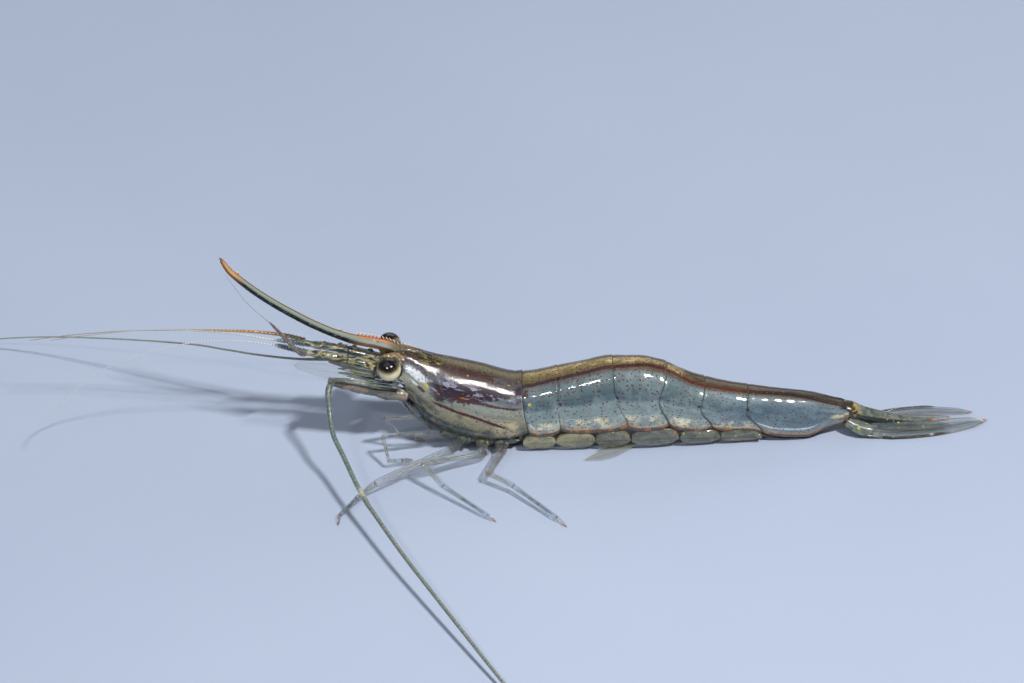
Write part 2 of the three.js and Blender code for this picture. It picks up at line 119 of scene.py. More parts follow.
ridge = smooth(
    [(-11, 6.55), (-8.65, 5.8), (-6.35, 5.15), (-4, 4.48), (-2.3, 4.78), (-0.6, 5.18), (1.1, 5.56),
     (2.7, 5.55), (4.1, 5.2), (5.2, 4.6), (6.6, 3.98), (9, 3.36), (12.5, 2.7), (15, 1.95)])
half_width = smooth(
    [(-11, 1.15), (-8.65, 1.6), (-6.35, 1.8), (-4, 1.75), (2.8, 1.7), (5.2, 1.52), (9, 1.2),
     (12.5, 1.05), (15, 0.78)])
lower_edge = smooth(
    [(-10.6, 3.6), (-9.5, 2.5), (-8.2, 1.85), (-7, 1.45), (-5.2, 1.15), (-3.7, 1.22), (1.5, 1.5),
     (4.2, 1.5), (6.6, 1.2), (9, 1.05), (10.7, 0.5), (12.5, 0.32), (13.8, 0.83), (15, 1)])
corner_rise = smooth([(-8, 0.05), (-3, 0.34), (6, 0.34), (9.5, 0.08)])
WIDEST = 0.62           # share of the half shell between ridge and widest line
WIDEST_HEIGHT = 0.45
TUCK = 0.1

# Edges between carapace, somites and telson, from the lower edge (0) to the ridge (1).
EDGES = [smooth(list(zip((0, 0.5, 1), places))) for places in (
    (-3.6, -3.8, -3.9), (-1.7, -1.85, -1.9), (2.1, 1.5, 1.3), (4.5, 3.95, 4.4), (7, 6.35, 6.6),
    (9.9, 9, 9.1), (TAIL_JOINT - 0.1, TAIL_JOINT, TAIL_JOINT))]


def section(across):
    """Share of the half width, and rise from lower edge (0) to ridge (1), at -1 to 1 across."""
    half = abs(across)
    sign = math.copysign(1, across)
    if half < WIDEST:
        angle = half / WIDEST * math.pi / 2
        return sign * math.sin(angle), WIDEST_HEIGHT + (1 - WIDEST_HEIGHT) * math.cos(angle)
    t = (half - WIDEST) / (1 - WIDEST)
    return sign * (1 - TUCK * t * t), WIDEST_HEIGHT * (1 - t)


def shell_place(x, across, along=0.5, lift=0.0):
    """A place on the body's shell; lift stands it off the shell."""
    share, rise = section(across)
    edge = lower_edge(x) + corner_rise(x) * (2 * along - 1) ** 4
    width = half_width(x) + lift
    height = ridge(x) + lift - edge
    return [x, tail_swing(x) + share * width, edge + rise * height]


# ---- Making meshes ----

def object_from(name, places, faces=(), marks=None, edges=()):
    """An object from places in millimetres; marks are named values or directions of each."""
    mesh = bpy.data.meshes.new(name)
    mesh.from_pydata([tuple(p) for p in metres(places)], edges, faces)
    for mark, values in (marks or {}).items():
        values = np.asarray(values, dtype=np.float32)
        kind, field = ("FLOAT_VECTOR", "vector") if values.ndim > 1 else ("FLOAT", "value")
        layer = mesh.attributes.new(mark, kind, "POINT")
        layer.data.foreach_set(field, values.ravel())
    mesh.update()
    piece = bpy.data.objects.new(name, mesh)
    bpy.context.scene.collection.objects.link(piece)
    return piece


def tube_parts(rings, marks, offset):
    """Places, faces and marks of rings joined into a closed tube with rounded-off ends."""
    around = len(rings[0])
    places = [p for ring in rings for p in ring]
    first, last = offset + len(places), offset + len(places) + 1
    final = first - around
    faces = []
    for a in range(offset, final, around):
        b = a + around
        for j in range(around):
            k = (j + 1) % around
            faces.append((a + j, a + k, b + k, b + j))
    for j in range(around):
        k = (j + 1) % around
        faces.append((offset + k, offset + j, first))
        faces.append((final + j, final + k, last))
    places += [np.mean(rings[0], axis=0), np.mean(rings[-1], axis=0)]
    joined = {}
    for mark, values in marks.items():
        flat = list(np.asarray(values, dtype=float).ravel())
        joined[mark] = flat + [float(np.mean(values[0])), float(np.mean(values[-1]))]
    return places, faces, joined


class Assembly:
    """Closed parts gathered into one piece."""

    def __init__(self):
        self.places, self.faces, self.marks = [], [], {}

    def add(self, rings, marks):
        places, faces, joined = tube_parts(rings, marks, len(self.places))
        for mark in set(self.marks) | set(joined):
            before = self.marks.setdefault(mark, [0.0] * len(self.places))
            before.extend(joined.get(mark, [0.0] * len(places)))
        self.places += places
        self.faces += faces

    def give(self, name, slot, finish, *nodes):
        """Makes the piece, and hands it over for the solids that it stands for."""
        piece = object_from(name, self.places, self.faces, self.marks)
        turn_outwards(piece)
        hand_over(piece, slot, finish, *nodes)


def turn_outwards(piece):
    """Turns the faces of closed parts outwards."""
    shape = bmesh.new()
    shape.from_mesh(piece.data)
    bmesh.ops.recalc_face_normals(shape, faces=shape.faces)
    shape.to_mesh(piece.data)
    shape.free()


def settle(piece):
    """Works the piece's modifiers into a plain mesh."""
    depsgraph = bpy.context.evaluated_depsgraph_get()
    mesh = bpy.data.meshes.new_from_object(piece.evaluated_get(depsgraph))
    piece.modifiers.clear()
    old = piece.data
    piece.data = mesh
    mesh.name = piece.name
    bpy.data.meshes.remove(old)


def press_on_floor(piece):
    """Presses flat against the floor whatever would dip into it."""
    places = np.zeros(len(piece.data.vertices) * 3)
    piece.data.vertices.foreach_get("co", places)
    places[2::3] = np.maximum(places[2::3], FLOOR_SKIN * MM)
    piece.data.vertices.foreach_set("co", places)


def hand_over(piece, slot, material, *nodes):
    """Gives a finished piece its material and body, and hides the solids that it stands for. The
    slot is not used.
    """
    press_on_floor(piece)
    piece.data.materials.clear()
    piece.data.materials.append(material)
    piece.data.polygons.foreach_set("use_smooth", [True] * len(piece.data.polygons))
    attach(piece, "root")
    if nodes:
        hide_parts(*nodes)


# ---- Lines through space ----

def travel_along(line):
    """How far each place of a line is from its start."""
    lengths = np.linalg.norm(np.diff(line[:, :3], axis=0), axis=1)
    return np.concatenate([[0.0], np.cumsum(lengths)])


def resampled(line, step):
    """The same line in even steps of about the given length."""
    travel = travel_along(line)
    count = max(int(travel[-1] / step), 3) + 1
    even = np.linspace(0, travel[-1], count)
    return np.stack([np.interp(even, travel, line[:, k]) for k in range(line.shape[1])], axis=1)


def flowing(places, step=0.1):
    """One long even curve through [x, y, z, size] places."""
    points = np.array(places, dtype=float)
    ends = [2 * points[0] - points[1], 2 * points[-1] - points[-2]]
    points = np.vstack([ends[0], points, ends[1]])
    line = []
    for i in range(1, len(points) - 2):
        p0, p1, p2, p3 = points[i - 1:i + 3]
        for t in np.linspace(0, 1, 16, endpoint=False):
            line.append(0.5 * (2 * p1 + (p2 - p0) * t + (2 * p0 - 5 * p1 + 4 * p2 - p3) * t * t
                               + (3 * p1 - p0 - 3 * p2 + p3) * t ** 3))
    line.append(points[-2])
    return resampled(np.array(line), step)


def axes_along(line):
    """For each place of a line: its direction, a side direction and a lift direction."""
    at = line[:, :3]
    ahead = np.vstack([at[1:], at[-1:]]) - np.vstack([at[:1], at[:-1]])
    ahead /= np.linalg.norm(ahead, axis=1)[:, None]
    side = UP.cross(Vector(ahead[0])).normalized()
    axes = []
    for i, direction in enumerate(ahead):
        if i > 0:
            turn = Vector(ahead[i - 1]).rotation_difference(Vector(direction))
            side = turn @ side
        axes.append((Vector(direction), side.copy(), Vector(direction).cross(side)))
    return axes


def turns(count):
    """Angles in even steps once round."""
    return [2 * math.pi * j / count for j in range(count)]


def oval_rings(line, wide, tall, around):
    """Oval rings along a line; wide and tall give half sizes at each place's index."""
    rings = []
    for i, (_, side, lift) in enumerate(axes_along(line)):
        ring = []
        for angle in turns(around):
            spot = Vector(line[i, :3]) + side * math.cos(angle) * wide(i)
            spot += lift * math.sin(angle) * tall(i)
            ring.append([spot.x, spot.y, max(spot.z, FLOOR_GAP)])
        rings.append(ring)
    return rings


# ---- Wiring nodes ----

def tone(colour):
    """A colour from its code, two signs each for red, green and blue; others stay as they are."""
    if not isinstance(colour, str):
        return colour
    shares = (int(colour[i:i + 2], 16) / 255 for i in (0, 2, 4))
    return (*(s / 12.92 if s <= 0.04045 else ((s + 0.055) / 1.055) ** 2.4 for s in shares), 1.0)


class Wiring:
    """Short ways to add and join the nodes of one tree."""

    def __init__(self, tree):
        self.tree = tree

    def plug(self, socket, value):
        if isinstance(value, bpy.types.NodeSocket):
            self.tree.links.new(value, socket)
        else:
            socket.default_value = tone(value) if socket.type == "RGBA" else value

    def node(self, kind, plugs=None, **settings):
        node = self.tree.nodes.new(kind)
        for name, value in settings.items():
            setattr(node, name, value)
        for name, value in (plugs or {}).items():
            self.plug(node.inputs[name], value)
        return node

    def first(self, kind, plugs=None, **settings):
        """What comes out of a new node first."""
        return self.node(kind, plugs, **settings).outputs[0]

    def math(self, operation, first, second=0.0, third=0.0):
        return self.first("ShaderNodeMath", {0: first, 1: second, 2: third}, operation=operation)

    def vector(self, operation, first, second):
        return self.first("ShaderNodeVectorMath", {0: first, 1: second}, operation=operation)

    def gathered(self, operation, values):
        result = values[0]
        for value in values[1:]:
            result = self.math(operation, result, value)
        return result

    def times(self, *values):
        return self.gathered("MULTIPLY", values)

    def most(self, *values):
        return self.gathered("MAXIMUM", values)

    def mix(self, share, first, second, blend="MIX"):
        node = self.node(
            "ShaderNodeMix", {0: share, 6: first, 7: second}, data_type="RGBA", blend_type=blend)
        return node.outputs[2]

    def ramp(self, value, *stops):
        """Colours at places between 0 and 1."""
        node = self.node("ShaderNodeValToRGB", {0: value})
        spots = node.color_ramp.elements
        while len(spots) < len(stops):
            spots.new(1.0)
        for spot, (place, colour) in zip(spots, stops):
            spot.position = place
            spot.color = tone(colour)
        return node.outputs[0]

    def levels(self, value, *stops):
        """Amounts at places between 0 and 1."""
        return self.ramp(value, *((place, (v, v, v, 1.0)) for place, v in stops))

    def curve(self, value, points):
        """A smooth value that follows a curve of (place, value) points between 0 and 1."""
        node = self.node("ShaderNodeFloatCurve", {"Value": value})
        track = node.mapping.curves[0].points
        while len(track) < len(points):
            track.new(0.5, 0.5)
        for point, place in zip(track, points):
            point.location = place
        node.mapping.update()
        return node.outputs[0]

    def step(self, value, start, end):
        """0 at start, 1 at end, smooth between."""
        return self.first(
            "ShaderNodeMapRange", {0: value, 1: start, 2: end}, interpolation_type="SMOOTHSTEP")

    def mark(self, name):
        """A value stored on the mesh."""
        return self.node("ShaderNodeAttribute", attribute_name=name).outputs["Fac"]

    def place(self):
        """Where the surface is, in millimetres."""
        spot = self.node("ShaderNodeTexCoord").outputs["Object"]
        return self.vector("MULTIPLY", spot, (1000.0, 1000.0, 1000.0))

    def joined(self, x, y, z=0.0):
        return self.first("ShaderNodeCombineXYZ", {0: x, 1: y, 2: z})

    def noise(self, place, scale, detail=3.0):
        plugs = {"Vector": place, "Scale": scale, "Detail": detail}
        return self.first("ShaderNodeTexNoise", plugs)

    def effect(self, group, plugs):
        node = self.node("ShaderNodeGroup", node_tree=group)
        for name, value in plugs.items():
            self.plug(node.inputs[name], value)
        return node.outputs


def new_tree(kind, name, inputs, outputs):
    """An empty node group: its wiring, the sockets that come in and the sockets that go out.

    A socket is given by its plain value, or by the name of its kind where it has none.
    """
    tree = bpy.data.node_groups.new(name, kind + "NodeTree")
    kinds = {float: "Float", int: "Int", tuple: "Vector"}
    for way, sockets in (("INPUT", inputs), ("OUTPUT", outputs)):
        for label, value in sockets.items():
            sort = value if isinstance(value, str) else kinds[type(value)]
            socket = tree.interface.new_socket(label, in_out=way, socket_type="NodeSocket" + sort)
            if sort is not value:
                socket.default_value = value
    wiring = Wiring(tree)
    return wiring, wiring.node("NodeGroupInput").outputs, wiring.node("NodeGroupOutput").inputs


def pigment_cells(name, space):
    """Small round cells of pigment, each with its own size, on part of an even scatter."""
    wiring, given, out = new_tree(
        "Shader", name, {"Place": "Vector", "Each mm": 4.0, "Size": 0.2, "Presence": 0.5},
        {"Mask": "Float", "Own": "Float"})
    cells = wiring.node(
        "ShaderNodeTexVoronoi", {"Vector": given["Place"], "Scale": given["Each mm"]},
        voronoi_dimensions=space)
    parts = wiring.node("ShaderNodeSeparateColor", {0: cells.outputs["Color"]})
    size = wiring.times(given["Size"], wiring.math("MULTIPLY_ADD", parts.outputs[0], 0.7, 0.45))
    core = wiring.math("MULTIPLY", size, 0.45)
    disc = wiring.step(cells.outputs["Distance"], size, core)
    kept = wiring.math("LESS_THAN", parts.outputs[1], given["Presence"])
    wiring.plug(out["Mask"], wiring.times(disc, kept))
    wiring.plug(out["Own"], parts.outputs[2])
    return wiring.tree


def pigment_line():
    """A line of pigment at a given place across the shell, with a frayed edge."""
    wiring, given, out = new_tree(
        "Shader", "Pigment line", {"Across": 0.0, "Centre": 0.2, "Half width": 0.02,
                                   "Softness": 0.02, "Place": "Vector", "Fray": 0.02},
        {"Mask": "Float"})
    grain = wiring.math("SUBTRACT", wiring.noise(given["Place"], 3.2, 4.0), 0.5)
    frayed = wiring.math("MULTIPLY_ADD", grain, given["Fray"], given["Across"])
    away = wiring.math("ABSOLUTE", wiring.math("SUBTRACT", frayed, given["Centre"]))
    outer = wiring.math("ADD", given["Half width"], given["Softness"])
    wiring.plug(out["Mask"], wiring.step(away, outer, given["Half width"]))
    return wiring.tree


def pigment_patch():
    """A soft-edged patch at one place on the shell, broken up by grain."""
    wiring, given, out = new_tree(
        "Shader", "Pigment patch", {"Along": 0.0, "Across": 0.0, "Centre": "Vector",
                                    "Reach": (1.0, 0.1, 1.0), "Place": "Vector", "Break": 0.6},
        {"Mask": "Float"})
    spot = wiring.joined(given["Along"], given["Across"])
    shares = wiring.vector(
        "DIVIDE", wiring.vector("SUBTRACT", spot, given["Centre"]), given["Reach"])
    far = wiring.node("ShaderNodeVectorMath", {0: shares}, operation="LENGTH").outputs["Value"]
    grain = wiring.math("SUBTRACT", wiring.noise(given["Place"], 6.5, 5.0), 0.5)
    rough = wiring.math("MULTIPLY_ADD", grain, wiring.times(given["Break"], 1.8), far)
    wiring.plug(out["Mask"], wiring.step(rough, 1.0, 0.6))
    return wiring.tree


def tissue_mottle():
    """Irregular patches with many small lobes."""
    wiring, given, out = new_tree(
        "Shader", "Tissue mottle", {"Place": "Vector", "Each mm": 1.5, "Low": 0.45, "High": 0.6},
        {"Mask": "Float"})
    noise = wiring.first("ShaderNodeTexNoise", {
        "Vector": given["Place"], "Scale": given["Each mm"], "Detail": 5.0, "Roughness": 0.62,
        "Distortion": 0.6})
    wiring.plug(out["Mask"], wiring.step(noise, given["Low"], given["High"]))
    return wiring.tree


def living_surface():
    """Fine relief and changing gloss of a wet living surface."""
    wiring, given, out = new_tree(
        "Shader", "Living surface", {"Place": "Vector", "Grain": 6.0, "Relief": 0.01,
                                     "Smoothest": 0.1, "Roughest": 0.3},
        {"Normal": "Vector", "Roughness": "Float", "Cloud": "Float"})
    broad = wiring.noise(given["Place"], given["Grain"], 3.0)
    fine = wiring.noise(given["Place"], wiring.times(given["Grain"], 4.3), 2.0)
    height = wiring.math("MULTIPLY_ADD", fine, 0.3, broad)
    depth = wiring.times(given["Relief"], MM)
    wiring.plug(
        out["Normal"], wiring.first("ShaderNodeBump", {"Distance": depth, "Height": height}))
    wiring.plug(out["Roughness"], wiring.first("ShaderNodeMapRange", {
        0: fine, 1: 0.3, 2: 0.7, 3: given["Smoothest"], 4: given["Roughest"]}))
    wiring.plug(out["Cloud"], wiring.step(broad, 0.35, 0.65))
    return wiring.tree


CELLS, SPECKS = pigment_cells("Pigment cells", "2D"), pigment_cells("Deep specks", "3D")
LINE, PATCH = pigment_line(), pigment_patch()
MOTTLE, SURFACE = tissue_mottle(), living_surface()


class Finish(Wiring):
    """A material, painted colour over colour. A colour is laid where all of its masks meet."""

    def __init__(self, name, **plain):
        self.material = bpy.data.materials.new(name)
        self.material.use_nodes = True
        super().__init__(self.material.node_tree)
        self.shader = self.tree.nodes["Principled BSDF"].inputs
        for socket, value in plain.items():
            self.shader[socket.replace("_", " ")].default_value = value
        self.skin = self.spot = self.place()

    def wet(self, grain, relief, smoothest, roughest):
        """Gives the surface its relief and gloss, and the colour a soft cloud to go with them."""
        surface = self.effect(SURFACE, {"Place": self.spot, "Grain": grain, "Relief": relief,
                                        "Smoothest": smoothest, "Roughest": roughest})
        for socket in ("Normal", "Coat Normal", "Roughness"):
            self.plug(self.shader[socket], surface[socket.replace("Coat ", "")])
        self.cloud = surface["Cloud"]

    def lay(self, colour, *masks):
        self.colour = self.mix(self.times(*masks), self.colour, colour)

    def darken(self, shade):
        self.colour = self.mix(1.0, self.colour, shade, "MULTIPLY")

    def mottle(self, each_mm, low, high, drawn=1.0):
        """Irregular patches, drawn out along the body where asked."""
        place = self.skin
        if drawn != 1.0:
            place = self.vector("MULTIPLY", place, (1 / drawn, 1.0, 1.0))
        return self.effect(MOTTLE, {"Place": place, "Each mm": each_mm, "Low": low,
                                    "High": high})["Mask"]

    def cells(self, each_mm, size, presence, *stops, strength=1.0, group=SPECKS):
        """A scatter of pigment cells, each with a colour of its own from the ramp's stops."""
        out = self.effect(
            group, {"Place": self.skin, "Each mm": each_mm, "Size": size, "Presence": presence})
        self.lay(self.ramp(out["Own"], *stops), out["Mask"], strength)
        return out["Mask"]

    def done(self, solid=None):
        """Plugs in the colour, and how solid the surface is where it is see-through."""
        self.plug(self.shader["Base Color"], self.colour)
        if solid is not None:
            self.plug(self.shader["Alpha"], solid)
        return self.material


# ---- Finishes of the body shell ----

TAN = "96865C"
OLIVE = "7A6E48"
OLIVE_SHADE = "5C5642"
FLANK = "5C7076"
FLANK_PALE = "8EA0A2"
FLANK_DEEP = "465C66"
# The colour of a painted glow of light through the body.
PAINTED_GLOW_CREAM = "FAEECC"
# Used for silver flecks and for painted highlights and glints.
SILVER_AND_HIGHLIGHT = "E2E6EC"
RUST = "762814"
DARK_RUST = "421610"
RED_CELLS = ((0.0, "681E10"), (1.0, "3C120C"))
ORANGE = "CE7428"
YELLOW = "CEBA52"
OLIVE_YELLOW = "807A2C"
PURPLE = "2E1C2C"
STRIPE = "281822"
BLACK = "0C0A0C"
TEAL = "223C48"
DARK_TEAL = "10222A"
FLESH = "B09280"

BODY_START, BODY_SPAN = -22.0, 46.0
SKIN_SPREAD = 5.0       # millimetres of shell for each unit across


class ShellPaint(Finish):
    """Pigment on a shell plate, placed along the body and from the ridge to the lower edge."""

    def __init__(self, name, grain, relief, coat, *base):
        super().__init__(
            name, Coat_Weight=coat, Coat_Roughness=0.03, Subsurface_Weight=0.15,
            Subsurface_Scale=0.0002, Subsurface_Radius=(1.0, 0.8, 0.6), Specular_IOR_Level=0.3)
        self.along = self.mark("along")
        self.half = self.math("ABSOLUTE", self.mark("across"))
        self.skin = self.joined(self.along, self.times(self.mark("across"), SKIN_SPREAD))
        self.colour = self.ramp(self.half, *base)
        self.wet(grain, relief, 0.36, 0.58)

    def body_share(self):
        return self.math("MULTIPLY_ADD", self.along, 1 / BODY_SPAN, -BODY_START / BODY_SPAN)

    def follow(self, points):
        """A value that follows a curve of (place along the body, value) points."""
        return self.curve(self.body_share(), [((x - BODY_START) / BODY_SPAN, v) for x, v in points])

    def beyond(self, start, end):
        return self.step(self.along, start, end)

    def across(self, start, end):
        return self.step(self.half, start, end)

    def within(self, start, end, soft=0.4):
        """1 between two places along the body."""
        return self.times(
            self.beyond(start - soft, start + soft), self.beyond(end + soft, end - soft))

    def band(self, start, end, soft=0.04):
        """1 between two places across the body, from ridge (0) to lower edge (1)."""
        return self.times(
            self.across(start - soft, start + soft), self.across(end + soft, end - soft))

    def line(self, points, half_width, softness, colour, strength=1.0, fray=0.03):
        mask = self.effect(LINE, {"Across": self.half, "Centre": self.follow(points),
                                  "Half width": half_width, "Softness": softness,
                                  "Place": self.skin, "Fray": fray})["Mask"]
        self.lay(colour, mask, self.within(points[0][0], points[-1][0]), strength)

    def patch(self, x, across, reach_x, reach_across, colour, strength=1.0, rough=0.6):
        mask = self.effect(PATCH, {"Along": self.along, "Across": self.half,
                                   "Centre": (x, across, 0.0),
                                   "Reach": (reach_x, reach_across, 1.0), "Place": self.skin,
                                   "Break": rough})["Mask"]
        self.lay(colour, mask, strength)

    def dots(self, each_mm, size, colours, strength, *presence):
        """Pigment cells, as many at each place across as the presence levels say."""
        self.cells(each_mm, size, self.levels(self.half, *presence), *colours, strength=strength,
                   group=CELLS)

    def done(self):
        self.darken(self.levels(self.cloud, (0.0, 0.86), (1.0, 1.0)))
        self.darken(self.levels(self.mottle(3.4, 0.36, 0.66, 1.5), (0.0, 0.84), (1.0, 1.0)))
        return super().done()


BACK_STRIPE = [(-4.1, 0.20), (-1.4, 0.16), (0.56, 0.15), (2.12, 0.13), (4.4, 0.10), (6.12, 0.15),
               (7.68, 0.14), (9.0, 0.14), (11.28, 0.12), (13.96, 0.18), (15.2, 0.18)]


def somite_back(paint):
    """The olive back with its dark stripe, which turns rusty and then teal towards the tail."""
    paint.lay("423626", paint.across(0.17, 0.1), paint.beyond(1.0, 6.5), 0.85)
    paint.lay("36342C", paint.across(0.17, 0.1), paint.beyond(9.0, 12.0), 0.8)
    # Painted highlight: mottled pale cream along the ridge of the front somites.
    paint.lay("D8C084", paint.across(0.1, 0.04), paint.mottle(1.3, 0.46, 0.66),
              paint.within(-3.9, 4.0), 0.7)
    paint.patch(4.9, 0.03, 0.6, 0.06, "D6C28C", 0.5, 1.8)
    paint.line([(x, s + 0.02) for x, s in BACK_STRIPE], 0.03, 0.04, "603E30", 0.5, 0.08)
    stripe = paint.ramp(
        paint.body_share(), (0.39, STRIPE), (0.54, "3E1C1A"), (0.66, "5C2214"),
        (0.70, "221A1C"), (0.80, "0C161E"))
    paint.line(BACK_STRIPE, 0.017, 0.016, stripe)
    paint.line([(9.2, 0.10), (11.0, 0.085), (13.0, 0.11), (14.6, 0.13)], 0.008, 0.012,
               DARK_TEAL, 0.95)


def somite_flank(paint):
    """Glassy slate flanks that pale below the muscle, with a painted cream glow of light shining
    through, low on the side plates.
    """
    paint.lay(FLANK_PALE, paint.mottle(0.7, 0.42, 0.62), paint.band(0.22, 0.95), 0.4)
    paint.lay("96A8A6", paint.across(0.52, 0.57), paint.within(-4.5, 7.5, 1.5), 0.6)
    paint.lay("546C82", paint.beyond(4.0, 11.0), paint.band(0.24, 0.9, 0.06), 0.4)
    # Painted light: a cream and gold glow low on the side plates, brightest near each plate's
    # front, stands in for light shining through the clear body.
    low = paint.times(paint.band(0.75, 0.95, 0.035), paint.within(-3.9, 10.3, 0.6))
    painted_glow = paint.levels(paint.mark("share"), (0.0, 0.55), (0.2, 1.0), (0.6, 0.7), (1.0, 0.25))
    paint.lay("FFF4CE", low, painted_glow, paint.mottle(1.05, 0.44, 0.62), 1.0)
    paint.lay("F0C86A", low, painted_glow, paint.mottle(1.9, 0.54, 0.68), 0.6)
    # Painted highlight: a thin silver line low on the sixth somite.
    paint.line([(9.6, 0.77), (11.0, 0.80), (13.0, 0.74)], 0.008, 0.02, SILVER_AND_HIGHLIGHT, 0.8, 0.02)
    paint.lay("BA8442", paint.across(0.88, 0.93), paint.mottle(1.5, 0.4, 0.56), 0.7)
    paint.lay("422C2E", paint.across(0.925, 0.955), 0.9)
    paint.lay("B07038", paint.across(0.93, 0.96), paint.mottle(2.2, 0.5, 0.6), 0.9)


# Broken spots on the somites, and two painted patches of light low on the first somite, a cream
# glow and a silver reflection: place along and across, reach and colour.
SOMITE_SPOTS_AND_LIGHTS = (
    (6.25, 0.52, 0.14, BLACK), (9.02, 0.49, 0.15, BLACK), (-1.75, 0.51, 0.12, DARK_RUST),
    (14.7, 0.26, 0.42, BLACK), (-3.72, 0.32, 0.22, DARK_RUST), (1.52, 0.52, 0.12, STRIPE),
    (-3.72, 0.27, 0.16, DARK_RUST), (-3.5, 0.44, 0.11, YELLOW),
    (14.3, 0.6, 0.5, "C4B88C"), (14.9, 0.5, 0.34, "CEC096"),
    (14.6, 0.76, 0.4, "82544A"), (-2.9, 0.84, 0.2, PAINTED_GLOW_CREAM), (-3.4, 0.8, 0.16, SILVER_AND_HIGHLIGHT))


def somite_finish():
    """The six somites of the abdomen: olive back, dark stripe, glassy slate flanks."""
    paint = ShellPaint(
        "Somite shell", 2.0, 0.012, 1.0, (0.0, TAN), (0.08, OLIVE), (0.16, OLIVE_SHADE),
        (0.21, FLANK), (0.38, FLANK), (0.5, FLANK_DEEP), (0.7, FLANK), (0.82, FLANK_PALE),
        (0.93, "969686"), (0.975, "6E4E40"), (1.0, "543E40"))
    somite_flank(paint)
    somite_back(paint)
    paint.dots(3.6, 0.2, ((0.0, OLIVE_YELLOW), (1.0, "60561E")), 0.9,
               (0.0, 0.5), (0.3, 0.5), (0.9, 0.35))
    paint.dots(4.2, 0.28, RED_CELLS, 1.0, (0.0, 0.95), (0.2, 0.9), (0.3, 0.62), (0.7, 0.5),
               (0.85, 0.6), (1.0, 0.3))
    paint.dots(5.6, 0.26, ((0.0, "4A140C"), (1.0, "5C2814")), 1.0,
               (0.0, 0.6), (0.16, 0.6), (0.25, 0.2), (0.5, 0.12))
    paint.dots(2.3, 0.17, ((0.0, ORANGE), (1.0, YELLOW)), 0.7, (0.7, 0.0), (0.85, 0.4), (1.0, 0.6))
    for x, across, reach, colour in SOMITE_SPOTS_AND_LIGHTS:
        paint.patch(x, across, reach, reach / SKIN_SPREAD, colour, 0.95, 0.9)
    front_joint = paint.times(paint.within(-2.2, -1.4, 0.2), 0.8)
    paint.lay("2C3226", paint.step(paint.mark("margin"), 0.075, 0.03),
              paint.math("SUBTRACT", 1.0, front_joint), 0.85)
    return paint.done()


def carapace_ground(paint):
    """Broad tones of the carapace under its markings."""
    paint.lay("5C5E68", paint.mottle(0.9, 0.42, 0.6), paint.band(0.1, 0.5), 0.6)
    paint.lay("9EA08E", paint.beyond(-8.7, -9.6), paint.across(0.44, 0.52), 0.85)
    under = paint.times(paint.beyond(-8.4, -9.4), paint.across(0.6, 0.78))
    paint.lay(DARK_TEAL, under, paint.mottle(1.3, 0.36, 0.5), 0.95)
    paint.lay(TEAL, paint.across(0.82, 0.94), paint.mottle(1.1, 0.42, 0.56), 0.85)
    gills = paint.node("ShaderNodeTexWave", {
        "Vector": paint.joined(paint.math("MULTIPLY_ADD", paint.half, 3.2, paint.along), 0.0),
        "Scale": 0.7, "Distortion": 4.0, "Detail": 4.0}).outputs["Fac"]
    gill_zone = paint.times(paint.across(0.62, 0.75), paint.within(-9.2, -4.2))
    paint.lay("C4BC9C", gills, gill_zone, paint.mottle(0.8, 0.4, 0.6), 0.22)
    paint.lay("B0A47C", paint.band(0.55, 0.95), paint.mottle(1.6, 0.46, 0.6, 2.2), 0.5)
    paint.lay("405050", paint.band(0.6, 1.0), paint.within(-10.0, -6.4),
              paint.mottle(1.3, 0.5, 0.62, 1.8), 0.6)
    paint.lay("D8CAA4", paint.band(0.72, 0.93), paint.within(-5.6, -3.9, 0.5),
              paint.mottle(1.2, 0.4, 0.52), 0.7)


def carapace_marks(paint):
    """The dark shoulders, the purple mass with painted bright glints, the two red-brown lines, and
    a painted highlight and glint behind and below the eye.
    """
    paint.patch(-9.5, 0.14, 1.35, 0.17, "1E1612", 0.97, 1.3)
    paint.lay("868850", paint.within(-10.4, -8.2, 0.3), paint.band(0.04, 0.26, 0.03),
              paint.mottle(2.6, 0.52, 0.62, 1.4), 0.85)
    paint.lay("70362A", paint.within(-10.8, -8.6, 0.3), paint.band(0.12, 0.3, 0.03),
              paint.mottle(3.2, 0.54, 0.62), 0.7)
    paint.patch(-7.0, 0.2, 2.0, 0.11, "3E2220", 0.92, 1.3)
    purple_width = paint.levels(paint.beyond(-9.2, -4.0), (0.0, 0.085), (0.55, 0.07), (1.0, 0.035))
    paint.line([(-9.1, 0.50), (-7.6, 0.44), (-6.4, 0.385), (-5.4, 0.335), (-4.4, 0.29),
                (-3.7, 0.25)], purple_width, 0.04, PURPLE, 0.97, 0.16)
    purple_zone = paint.times(paint.within(-9.3, -4.4, 0.4), paint.band(0.3, 0.5, 0.05))
    # Painted glints: pale lilac flecks along the purple mass.
    paint.lay("AAAAC4", purple_zone, paint.mottle(3.4, 0.53, 0.62, 2.6), 0.8)
    paint.lay("BA7434", paint.within(-8.9, -6.7, 0.3), paint.band(0.43, 0.52, 0.03),
              paint.mottle(3.6, 0.55, 0.64, 1.6), 0.8)
    paint.line([(-7.9, 0.50), (-6.3, 0.49), (-5.1, 0.495), (-4.1, 0.505)], 0.008, 0.014,
               "4A241A", 0.95, 0.05)
    paint.line([(-9.0, 0.64), (-7.9, 0.665), (-6.9, 0.675), (-5.9, 0.72), (-4.8, 0.81)], 0.012,
               0.018, "4E1C14", 1.0, 0.04)
    # Painted highlight: a pale patch just behind the eye.
    paint.patch(-9.95, 0.41, 0.75, 0.085, SILVER_AND_HIGHLIGHT, 0.95, 0.7)
    paint.patch(-9.7, 0.56, 0.36, 0.035, DARK_RUST, 0.9, 0.8)
    # Painted glint: a small pale bar below the eye.
    paint.patch(-10.1, 0.545, 0.3, 0.025, SILVER_AND_HIGHLIGHT, 0.9, 0.4)
    paint.patch(-9.4, 0.47, 0.18, 0.03, YELLOW, 0.95, 0.7)


